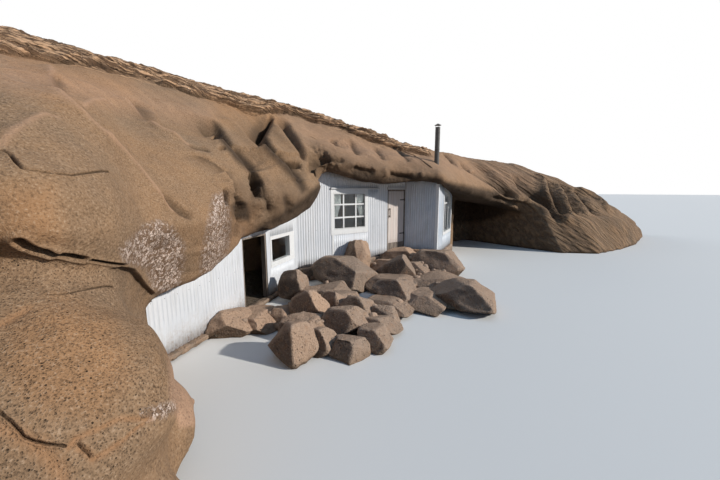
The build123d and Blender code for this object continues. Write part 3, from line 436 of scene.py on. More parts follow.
def edges_nodes(tree, reach):
    """Worn is 1 on outer edges, and Sunk is 1 in creases."""
    shape = add(tree, "NewGeometry").outputs["Pointiness"]
    return {"Worn": ramp(tree, shape, 0.5, reach + 0.5), "Sunk": ramp(tree, shape, 0.5, 0.5 - reach)}


def low_dirt_nodes(tree, position, top):
    """1 at the ground and 0 above the given height, with a broken edge."""
    height = Value(add(tree, "SeparateXYZ", {0: position}).outputs[2])
    wander = (noise(tree, position, 4.0, 5.0) - 0.5) * top
    return {"Value": ramp(tree, height + wander, top, 0.0, kind="LINEAR")}


def grain_nodes(tree, position, stretch):
    """Wood grain drawn along one axis: Stretch is small along the grain."""
    drawn = vectors(tree, "MULTIPLY", position, stretch)
    coarse = noise(tree, drawn, 26.0, 3.0, Distortion=0.6)
    fine = noise(tree, drawn, 190.0, 3.0)
    return {"Tone": ramp(tree, coarse, 0.3, 0.7), "Height": coarse * 0.5 + fine * 0.5}


def layers_nodes(tree, position, thickness):
    """Thin broken beds of rock that dip to the right, 0 in the gaps and 1 on the beds."""
    split = [Value(socket) for socket in add(tree, "SeparateXYZ", {0: position}).outputs]
    level = split[2] + split[0] * BED_DIP + noise(tree, position, 1.3, 5.0) * 0.5
    stacked = add(tree, "CombineXYZ", {0: split[0] * 1.2, 2: level / thickness}).outputs[0]
    return {"Value": ramp(tree, noise(tree, stacked, 1.0, 3.0), 0.42, 0.56)}


def streaks_nodes(tree, position, size):
    """Faint ridges that run down the slope, 0 to 1."""
    along = Value(vectors(tree, "DOT_PRODUCT", position, SLOPE_RUN, "Value"))
    kept = add(tree, "VectorMath", {0: SLOPE_RUN, "Scale": along * 0.93}, operation="SCALE").outputs[0]
    drawn = vectors(tree, "SUBTRACT", position, kept)
    return {"Value": ramp(tree, noise(tree, drawn, 1 / size, 4.0), 0.35, 0.65)}


PLACE = {"Position": (0.0, 0.0, 0.0)}
GROUPS = {
    "mottle": new_group("mottle", mottle_nodes, {**PLACE, "Size": 1.0, "Contrast": 2.0}),
    "layers": new_group("layers", layers_nodes, {**PLACE, "Thickness": 0.05}),
    "streaks": new_group("streaks", streaks_nodes, {**PLACE, "Size": 0.2}),
    "pits": new_group("pits", pits_nodes, {**PLACE, "Size": 0.03, "Share": 0.4}),
    "clasts": new_group("clasts", clasts_nodes, {**PLACE, "Size": 0.05}),
    "runs": new_group("runs", runs_nodes, {**PLACE, "Size": 0.05, "Share": 0.5}),
    "edges": new_group("edges", edges_nodes, {"Reach": 0.03}),
    "low_dirt": new_group("low_dirt", low_dirt_nodes, {**PLACE, "Top": 0.5}),
    "grain": new_group("grain", grain_nodes, {**PLACE, "Stretch": (1.0, 1.0, 0.08)}),
}


class Finish:
    """A material under construction: its nodes, its shader and its colour so far."""

    def __init__(self, name, color, rough, metal=0.0):
        self.material = bpy.data.materials.new(name)
        self.material.use_nodes = True
        self.tree = self.material.node_tree
        self.color = color
        self.place = add(self.tree, "TexCoord").outputs["Object"]
        self.shade("Roughness", rough)
        self.shade("Metallic", metal)

    def shade(self, name, value):
        feed(self.tree, value, self.tree.nodes["Principled BSDF"].inputs[name])

    def group(self, name, **inputs):
        """What a node group puts out, in the order of its outputs."""
        if "Position" in GROUPS[name].interface.items_tree:
            inputs["Position"] = self.place
        node = self.tree.nodes.new("ShaderNodeGroup")
        node.node_tree = GROUPS[name]
        for label, value in inputs.items():
            feed(self.tree, value, node.inputs[label])
        return [Value(socket, clamp=True) for socket in node.outputs]

    def mottle(self, size, contrast=2.0):
        return self.group("mottle", Size=size, Contrast=contrast)[0]

    def attribute(self, name):
        return Value(add(self.tree, "Attribute", attribute_name=name).outputs["Fac"], clamp=True)

    def facing(self, direction):
        """1 where the surface faces the direction, -1 where it faces away."""
        normal = add(self.tree, "NewGeometry").outputs["Normal"]
        return Value(vectors(self.tree, "DOT_PRODUCT", normal, direction, "Value"), clamp=True)

    def between(self, share, first, second):
        return blend_colors(self.tree, share, first, second)

    def tint(self, share, color):
        """Lays a share of a colour over what is there."""
        self.color = self.between(share, self.color, color)

    def finished(self, *layers):
        """Puts the colour and the bumps on. Layers are (height, depth in metres), coarse first."""
        self.shade("Base Color", self.color)
        normal = None
        for height, depth in layers:
            node = add(self.tree, "Bump", {"Height": height, "Distance": depth, "Strength": 1.0})
            if normal:
                self.tree.links.new(normal, node.inputs["Normal"])
            normal = node.outputs[0]
        self.shade("Normal", normal)
        return self.material


ROCK_TAN = (0.350, 0.208, 0.112)
ROCK_WARM = (0.455, 0.240, 0.112)
ROCK_GREY = (0.262, 0.182, 0.118)
ROCK_DARK = (0.052, 0.034, 0.022)
ROCK_PALE = (0.500, 0.350, 0.235)
ROCK_PINK = (0.510, 0.310, 0.200)
BED_GAP_SHADOW = (0.110, 0.062, 0.036)
BED_PALE = (0.640, 0.400, 0.240)
CLAST_PALE = (0.780, 0.620, 0.530)
CLAST_BROWN = (0.420, 0.290, 0.210)
CLAST_MATRIX = (0.190, 0.118, 0.078)
SOIL_ORANGE = (0.410, 0.215, 0.105)
STONE_BROWN = (0.600, 0.400, 0.275)
STONE_GREY = (0.310, 0.240, 0.190)
STONE_DARK = (0.068, 0.049, 0.038)
STONE_RUST = (0.385, 0.215, 0.120)
STONE_PALE = (0.500, 0.380, 0.295)
STONE_DUST = (0.260, 0.175, 0.112)
EARTH_DARK = (0.085, 0.06, 0.04)
EARTH_BROWN = (0.19, 0.135, 0.085)
EARTH_STONE = (0.27, 0.22, 0.17)
EARTH_GRIT = (0.33, 0.24, 0.15)
SHEET_WHITE = (0.78, 0.80, 0.84)
SHEET_CHALK = (0.66, 0.69, 0.74)
# Paint of the wing: darker and bluer than the other sheets, as painted shade
WING_SHADED_WHITE = (0.70, 0.74, 0.80)
WING_SHADED_CHALK = (0.46, 0.53, 0.62)
SHEET_GRIME = (0.42, 0.41, 0.39)
SHEET_STAIN = (0.50, 0.44, 0.38)
SHEET_MUD = (0.34, 0.25, 0.18)
SHEET_RUST = (0.23, 0.10, 0.05)
SHEET_VALLEY_SHADE = (0.26, 0.28, 0.32)
FLOOR_WOOD = ((0.36, 0.25, 0.16), (0.20, 0.13, 0.08))
SAWN_WOOD = ((0.40, 0.29, 0.19), (0.22, 0.15, 0.10))
GREY_WOOD = ((0.36, 0.30, 0.25), (0.13, 0.10, 0.08))
WHITE_PAINT = (0.86, 0.87, 0.88)
OLD_WHITE_PAINT = (0.66, 0.67, 0.68)
CHIPPED_WOOD = (0.36, 0.33, 0.30)
CORNER_SHADE = (0.40, 0.39, 0.37)
PAINT_STAIN = (0.52, 0.50, 0.47)
DOOR_PINK = (0.84, 0.70, 0.63)
DOOR_WHITE = (0.93, 0.86, 0.82)
DOOR_WOOD = ((0.44, 0.37, 0.32), (0.26, 0.21, 0.18))
DOOR_GAP = (0.05, 0.04, 0.035)
DOOR_MUD = (0.30, 0.22, 0.17)
CLOTH_SHADE = (0.66, 0.66, 0.64)
CLOTH_WHITE = (0.86, 0.86, 0.84)
CLOTH_STAIN = (0.62, 0.58, 0.50)
GLASS_GREEN = (0.80, 0.86, 0.88)
GLASS_CLEAR = (0.92, 0.95, 0.96)
IRON_BLACK = (0.045, 0.042, 0.04)
IRON_RUST = (0.14, 0.07, 0.04)
PIPE_BLACK = (0.018, 0.018, 0.02)
PIPE_RUST = (0.11, 0.07, 0.05)
PIPE_WORN = (0.12, 0.11, 0.10)


def rock_material():
    rock = Finish("rock", ROCK_GREY, rough=0.92)
    rock.shade("Specular IOR Level", STONE_SHINE)
    middle = rock.mottle(0.45, 2.6)
    small = rock.mottle(0.10, 2.4)
    grit = rock.mottle(0.018, 3.2)
    rock.tint(rock.mottle(1.7, 2.8), ROCK_TAN)
    rock.tint(middle * 0.55, ROCK_TAN)
    rock.tint((small - 0.5) * 0.35, ROCK_PALE)
    rock.tint(rock.attribute("warm") * 0.7, ROCK_WARM)
    rock.tint(rock.attribute("smooth"), ROCK_PINK)
    rock.tint(rock.attribute("pale") * 0.6, ROCK_PINK)
    fluted = rock.attribute("fluted")
    streaks = 1 - rock.group("streaks", Size=0.16)[0]
    rock.tint(streaks * (fluted * 0.4 + 0.14), STONE_DARK)
    speckled = rock.attribute("speckled")
    specks = 1 - rock.group("pits", Size=0.013, Share=0.5)[0]
    holes = 1 - rock.group("pits", Size=0.030, Share=0.24)[0]
    rock.tint(specks * (speckled * 0.42 + 0.14), ROCK_DARK)
    rock.tint(holes * (speckled * 0.5 + 0.08), ROCK_DARK)
    rock.tint((0.42 - grit) * 1.3, ROCK_DARK)
    rock.tint((grit - 0.64) * 1.5, ROCK_PALE)
    pebbly = rock.attribute("pebbly")
    tone, height = rock.group("clasts", Size=0.032)
    lumpy = pebbly * height
    rock.tint(pebbly * 0.8, CLAST_MATRIX)
    rock.tint(lumpy, rock.between(tone, CLAST_BROWN, CLAST_PALE))
    bedded = rock.attribute("bedded")
    beds = rock.group("layers", Thickness=0.05)[0]
    # Painted shadow in the gaps under the beds
    bed_color = rock.between(beds * (rock.mottle(0.12, 3.0) + 0.5), BED_GAP_SHADOW, BED_PALE)
    rock.tint(bedded * 0.85, bed_color)
    rock.tint(rock.attribute("soil"), SOIL_ORANGE)
    # Painted highlight: paler colour along the lit crests
    rock.tint(rock.attribute("crest") * 0.55, ROCK_PINK)
    # Painted shade: faces that look down are darkened
    rock.tint((rock.facing((0, 0, -1)) - 0.45) * 1.4, ROCK_DARK)
    # Painted half shade under the flutes and along the lip
    rock.tint(rock.attribute("painted_half_shade") * (middle * 0.4 + 0.12), STONE_DARK)
    # Painted deep shade in the flute lines, under the lip and the overhang, and in the hollow
    rock.tint(rock.attribute("painted_deep_shade") * (small * 0.2 + 0.8), ROCK_DARK)
    # Painted shade in the hollows of grooves, slots, crevices, dents and pockets, on the shaded sides of
    # flutes and under ledges
    rock.tint(rock.attribute("painted_recess_shade") * 0.92, ROCK_DARK)
    return rock.finished((middle, 0.02), (small, 0.003), (bedded * beds, 0.06), (fluted * streaks, -0.08),
                         (lumpy, 0.010), (grit, 0.004), (specks * speckled, -0.004),
                         (holes * speckled, -0.010))


def boulder_material(name):
    """Basalt, with painted shade: the sides that face away from the sun are darkened."""
    stone = Finish(name, STONE_GREY, rough=0.92)
    stone.shade("Specular IOR Level", STONE_SHINE)
    wide = stone.mottle(0.45, 2.6)
    small = stone.mottle(0.10, 2.8)
    grit = stone.mottle(0.025, 3.0)
    stone.tint(stone.attribute("tone"), STONE_BROWN)
    stone.tint(wide * 0.22, STONE_DARK)
    # Painted shade on the sides of each stone turned away from the sun
    bare = ramp(stone.tree, stone.facing(SUNWARD_SIDE), 0.35, -0.10, kind="LINEAR")
    stone.tint(bare * 0.7, STONE_DARK)
    stone.tint((small - 0.6) * 1.2, STONE_RUST)
    holes = 1 - stone.group("pits", Size=0.06, Share=0.3)[0]
    vesicles = 1 - stone.group("pits", Size=0.018, Share=0.42)[0]
    stone.tint(holes * 0.6, ROCK_DARK)
    stone.tint(vesicles * 0.35, ROCK_DARK)
    stone.tint((grit - 0.62) * 1.5, STONE_PALE)
    worn, sunk = stone.group("edges", Reach=0.08)
    stone.tint(worn * 0.5, STONE_PALE)
    # Painted shade in the creases
    stone.tint(sunk * 0.7, ROCK_DARK)
    stone.tint(stone.group("low_dirt", Top=0.16)[0] * 0.5, STONE_DUST)
    return stone.finished((wide, 0.03), (small, 0.015), (holes, -0.014), (vesicles, -0.004), (grit, 0.004))


def earth_material():
    earth = Finish("earth", EARTH_DARK, rough=0.95)
    clods = earth.mottle(0.08, 2.4)
    grit = earth.mottle(0.014, 2.6)
    _, stones = earth.group("clasts", Size=0.03)
    earth.tint(clods, EARTH_BROWN)
    earth.tint(stones * 0.7, EARTH_STONE)
    earth.tint(grit - 0.6, EARTH_GRIT)
    return earth.finished((clods, 0.03), (stones, 0.012), (grit, 0.004))


def sheet_material(name, paint, chalk, streaked):
    """Painted corrugated steel, chalky, with dirty runs and rust along its foot."""
    sheet = Finish(name, chalk, rough=0.5)
    wide = sheet.mottle(0.7, 2.0)
    fine = sheet.mottle(0.05, 2.4)
    runs = sheet.group("runs", Size=0.045, Share=0.5)[0]
    dirt = sheet.group("low_dirt", Top=0.55)[0]
    rust = ((dirt + 0.3) * sheet.mottle(0.06, 3.4) - 0.80) * 2.5
    sheet.tint(wide, paint)
    sheet.tint(runs * streaked, SHEET_GRIME)
    sheet.tint(sheet.group("runs", Size=0.16, Share=0.35)[0] * 0.35, SHEET_STAIN)
    sheet.tint(dirt * fine * 0.7, SHEET_MUD)
    sheet.tint(rust, SHEET_RUST)
    # Painted shade in the valleys of the corrugation
    sheet.tint(sheet.group("edges", Reach=0.05)[1] * 0.62, SHEET_VALLEY_SHADE)
    sheet.shade("Roughness", (runs + rust) * 0.4 + 0.42)
    return sheet.finished((wide, 0.004), (fine, 0.0008))


def wood_material(name, colors, grain=(1, 1, 0.08), across=None, width=0.15):
    """Bare wood. The grain's stretch is small along it, and across is the direction over the seams."""
    light, dark = colors
    wood = Finish(name, dark, rough=0.8)
    tone, height = wood.group("grain", Stretch=grain)
    wood.tint(tone, light)
    wood.tint(wood.mottle(0.25, 2.4) * 0.45, darker(dark, 0.6))
    # Painted shade in the creases
    wood.tint(wood.group("edges", Reach=0.06)[1] * 0.5, darker(dark, 0.4))
    if across is None:
        return wood.finished((height, 0.003))
    gap = board_seams(wood, across, width)
    wood.tint(gap, darker(dark, 0.2))
    return wood.finished((1 - gap, 0.004), (height, 0.003))


def board_seams(wood, across, width):
    """1 in the dark lines between boards of this width, 0 on the boards."""
    place = Value(vectors(wood.tree, "DOT_PRODUCT", wood.place, across, "Value"))
    share = calc(wood.tree, "FRACT", place / width)
    return ramp(wood.tree, calc(wood.tree, "ABSOLUTE", share - 0.5), 0.475, 0.492)


def painted_wood_material(name, paint):
    """Painted wood: brush marks, chips that show grey wood, and painted shade in the corners."""
    wood = Finish(name, darker(paint, 0.9), rough=0.55)
    tone, height = wood.group("grain", Stretch=(1, 1, 0.08))
    worn, sunk = wood.group("edges", Reach=0.05)
    wood.tint(wood.mottle(0.3, 2.0), paint)
    wood.tint(tone * 0.12, darker(paint, 0.7))
    wood.tint((worn * wood.mottle(0.02, 4.0) - 0.72) * 1.5, CHIPPED_WOOD)
    # Painted shade in the creases and corners
    wood.tint(sunk * 0.45, CORNER_SHADE)
    wood.tint(wood.group("runs", Size=0.03, Share=0.4)[0] * 0.15, PAINT_STAIN)
    return wood.finished((height, 0.0012), (wood.mottle(0.02, 2.0), 0.0006))


def door_material():
    """Thin pinkish-white paint worn through to grey wood along the grain."""
    wood = Finish("door_planks", DOOR_PINK, rough=0.75)
    tone, height = wood.group("grain", Stretch=(1, 1, 0.07))
    worn, sunk = wood.group("edges", Reach=0.05)
    light, dark = DOOR_WOOD
    bare = wood.between(tone, dark, light)
    wood.tint(wood.attribute("tone"), DOOR_WHITE)
    wood.tint((wood.group("runs", Size=0.05, Share=0.7)[0] * 1.5 - 0.5) * 0.6, bare)
    wood.tint(worn * 0.4, bare)
    wood.tint(sunk * 0.8, DOOR_GAP)
    wood.tint(wood.group("low_dirt", Top=1.0)[0] * 0.5, DOOR_MUD)
    return wood.finished((height, 0.002))


def cloth_material():
    cloth = Finish("curtain_cloth", CLOTH_SHADE, rough=0.95)
    threads = {"Vector": cloth.place, "Scale": 90.0, "Distortion": 0.4}
    across = add(cloth.tree, "TexWave", threads, bands_direction="Z").outputs["Fac"]
    upright = add(cloth.tree, "TexWave", threads, bands_direction="X").outputs["Fac"]
    weave = Value(across, clamp=True) * upright
    cloth.tint(weave, CLOTH_WHITE)
    cloth.tint(cloth.mottle(0.2) * 0.2, CLOTH_STAIN)
    cloth.shade("Sheen Weight", 0.3)
    return cloth.finished((weave, 0.0004))


def glass_material():
    glass = Finish("window_glass", GLASS_GREEN, rough=0.03)
    glass.shade("Transmission Weight", 1.0)
    glass.shade("IOR", 1.5)
    glass.shade("Specular IOR Level", 0.22)
    glass.tint(glass.mottle(0.35), GLASS_CLEAR)
    glass.shade("Roughness", glass.mottle(0.08, 2.6) * 0.06 + 0.02)
    return glass.finished((glass.mottle(0.3), 0.002))


def iron_material():
    iron = Finish("iron", IRON_BLACK, rough=0.6, metal=0.85)
    rust = iron.mottle(0.02, 3.0)
    iron.tint(rust * 0.6, IRON_RUST)
    iron.shade("Roughness", rust * 0.4 + 0.45)
    return iron.finished((iron.mottle(0.006, 2.0), 0.0006))


def pipe_material():
    pipe = Finish("pipe_steel", PIPE_BLACK, rough=0.6)
    soot = pipe.mottle(0.12, 2.6)
    pipe.tint(soot, IRON_BLACK)
    pipe.tint(pipe.group("runs", Size=0.03, Share=0.6)[0] * 0.5, PIPE_RUST)
    pipe.tint(pipe.group("edges", Reach=0.05)[0] * 0.4, PIPE_WORN)
    pipe.shade("Roughness", soot * 0.3 + 0.45)
    return pipe.finished((pipe.mottle(0.02, 2.0), 0.0008))


# Noise

def soft_noise(points, size, seed):
    """Smooth random values from -1 to 1 with bumps about size metres wide."""
    table = np.random.default_rng(seed).uniform(-1, 1, (LATTICE, LATTICE, LATTICE))
    turned = points @ noise_turn(seed) / size
    cell = np.floor(turned).astype(int)
    part = turned - cell
    part = part * part * (3 - 2 * part)
    total = np.zeros(len(points))
    for corner in np.ndindex(2, 2, 2):
        picked = np.where(np.array(corner, bool), part, 1 - part)
        index = (cell + corner) % LATTICE
        total += picked.prod(axis=1) * table[index[:, 0], index[:, 1], index[:, 2]]
    return total


def noise_sum(points, *bumps):
    """Soft noise of several sizes: each bump is (size, seed, depth)."""
    return sum(soft_noise(points, size, seed) * depth for size, seed, depth in bumps)


def noise_turn(seed):
    """A turn of the axes, so that layers of noise don't line up."""
    return np.array(Euler((0.7 + seed, 1.1 + 2 * seed, 0.4 + 3 * seed)).to_matrix())


# Meshes

def read(items, name, width=1, kind=float):
    """One property of all items, in rows where it has more than one number."""
    flat = np.zeros(len(items) * width, kind)
    items.foreach_get(name, flat)
    return flat.reshape(-1, width) if width > 1 else flat


def mesh_points(mesh):
    return read(mesh.vertices, "co", 3)


def mesh_normals(mesh):
    return read(mesh.vertices, "normal", 3)


def set_points(mesh, points):
    mesh.vertices.foreach_set("co", points.ravel())
    mesh.update()


def store(mesh, name, values):
    layer = mesh.attributes.new(name, "FLOAT", "POINT")
    layer.data.foreach_set("value", values.astype(np.float32))


def mesh_of(made, name):
    """The mesh of what bmesh has made, under this name."""
    mesh = bpy.data.meshes.new(name)
    made.to_mesh(mesh)
    made.free()
    return mesh


def tree_of(points, faces):
    return BVHTree.FromPolygons([tuple(p) for p in points], [tuple(f) for f in faces])


def node_tree(name):
    mesh = NODES[name].data
    return tree_of((v.co for v in mesh.vertices), (p.vertices for p in mesh.polygons))


def place_piece(name, mesh, material, replaced=(), body="dwelling", smooth=True):
    """One visual piece: what it rides on, its material and the solids that it hides."""
    mesh.materials.append(material)
    if smooth:
        mesh.polygons.foreach_set("use_smooth", np.ones(len(mesh.polygons), bool))
    obj = link(name, mesh)
    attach(obj, body)
    if replaced:
        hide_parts(*replaced)
    return obj


def joined_mesh(names):
    merged = bmesh.new()
    for node in names:
        merged.from_mesh(NODES[node].data)
    return mesh_of(merged, "joined")


def remeshed(mesh, size):
    """An even closed mesh over this one, with faces of about this size."""
    obj = link("remesh_source", mesh)
    modifier = obj.modifiers.new("even", "REMESH")
    modifier.mode = "VOXEL"
    modifier.voxel_size = size
    depsgraph = bpy.context.evaluated_depsgraph_get()
    even = bpy.data.meshes.new_from_object(obj.evaluated_get(depsgraph))
    bpy.data.objects.remove(obj)
    return even


def smoothed(mesh, points, rounds, factors):
    """Each point moved towards the middle of its neighbours, factor by factor."""
    edges = read(mesh.edges, "vertices", 2, int)
    count = np.bincount(edges.ravel(), minlength=len(points))[:, None]
    for _ in range(rounds):
        for factor in factors:
            mean = np.empty_like(points)
            for axis in range(3):
                mean[:, axis] = np.bincount(edges[:, 0], points[edges[:, 1], axis], len(points))
                mean[:, axis] += np.bincount(edges[:, 1], points[edges[:, 0], axis], len(points))
            points = points + factor * (mean / count - points)
    return points


def rough_core(nodes, face, rounds, bumps, sink, height=1.0):
    """A roughened skin over the solids of these nodes, sunk a little and lowered to a share of its height."""
    core = remeshed(joined_mesh(nodes), face)
    points = smoothed(core, mesh_points(core), rounds, [0.5])
    points += mesh_normals(core) * (noise_sum(points, *bumps) - sink)[:, None]
    points[:, 2] = np.maximum(points[:, 2] * height, 0)
    set_points(core, points)
    return core


# Rock skin

def refined(mesh, chosen):
    """Divides the chosen faces once."""
    made = bmesh.new()
    made.from_mesh(mesh)
    made.faces.ensure_lookup_table()
    edges = list({edge for i in np.nonzero(chosen)[0] for edge in made.faces[i].edges})
    bmesh.ops.subdivide_edges(made, edges=edges, cuts=1, use_grid_fill=True, smooth=0.6)
    made.to_mesh(mesh)
    made.free()


def refine_near(mesh, reach):
    """Divides the faces that the camera sees from nearer than reach."""
    centres = read(mesh.polygons, "center", 3)
    away = centres - np.array(EYE)
    places = picture_places(centres)
    left, right, top, bottom = FINE_VIEW
    shown = (places[:, 0] > left) & (places[:, 0] < right) & (places[:, 1] > top) & (places[:, 1] < bottom)
    shown &= (np.linalg.norm(away, axis=1) < reach)
    shown &= (away * read(mesh.polygons, "normal", 3)).sum(1) < 0.15
    refined(mesh, shown)


def near_run(points, run, reach):
    """Numbers of the points in the box of a run, widened by reach."""
    return np.nonzero(((points > run.min(0) - reach) & (points < run.max(0) + reach)).all(1))[0]


def refine_strokes(mesh, runs, widths, widest):
    """Divides the faces within so many widths of a stroke that is no wider than widest."""
    centres = read(mesh.polygons, "center", 3)
    chosen = np.zeros(len(centres), bool)
    for kind, width, _, run in runs:
        if width > widest or kind == "crest":
            continue
        reach = width * widths + 0.01
        picked = near_run(centres, run, reach)
        distance = distance_to(centres[picked], run)[0]
        chosen[picked[distance < reach]] = True
    refined(mesh, chosen)


def traced_strokes(mesh, points):
    """Every stroke laid on the surface that the camera sees."""
    tree = tree_of(points, (p.vertices for p in mesh.polygons))
    return [(kind, width, depth, run) for kind, width, depth, line in STROKES for run in traced(tree, line)]


def sight(column, row):
    """The direction from the camera through a picture point."""
    aside = (column - PICTURE_SIZE[0] / 2) / PICTURE_FOCUS
    up = (PICTURE_SIZE[1] / 2 - row) / PICTURE_FOCUS
    local = Vector((aside, up, -1))
    local.rotate(camera_turn())
    return local.normalized()


def traced(tree, picture_points):
    """Runs of points on the rock under a line in the picture. A jump to rock behind starts a new run."""
    runs = [[]]
    for (xa, ya), (xb, yb) in zip(picture_points, picture_points[1:]):
        count = max(1, int(math.dist((xa, ya), (xb, yb)) / TRACE_STEP))
        for i in range(count):
            t = i / count
            hit = tree.ray_cast(EYE, sight(xa + (xb - xa) * t, ya + (yb - ya) * t))[0]
            if hit is None:
                continue
            if runs[-1] and (hit - runs[-1][-1]).length > 0.5 + 0.06 * (hit - EYE).length:
                runs.append([])
            runs[-1].append(hit)
    return [np.array(run) for run in runs if len(run) > 1]


def distance_to(points, run):
    """Distance from each point to a run of points, how far above it lies and its share of the way along."""
    best = np.full(len(points), 1e9)
    above = np.zeros(len(points))
    share = np.zeros(len(points))
    passed = np.concatenate([[0], np.cumsum(np.linalg.norm(np.diff(run, axis=0), axis=1))])
    for number, (a, b) in enumerate(zip(run, run[1:])):
        along = b - a
        t = np.clip((points - a) @ along / max(along @ along, 1e-9), 0, 1)
        off = points - (a + t[:, None] * along)
        distance = np.linalg.norm(off, axis=1)
        nearer = distance < best
        best[nearer] = distance[nearer]
        above[nearer] = off[nearer, 2]
        share[nearer] = (passed[number] + t[nearer] * (passed[number + 1] - passed[number])) / passed[-1]
    return best, above, share


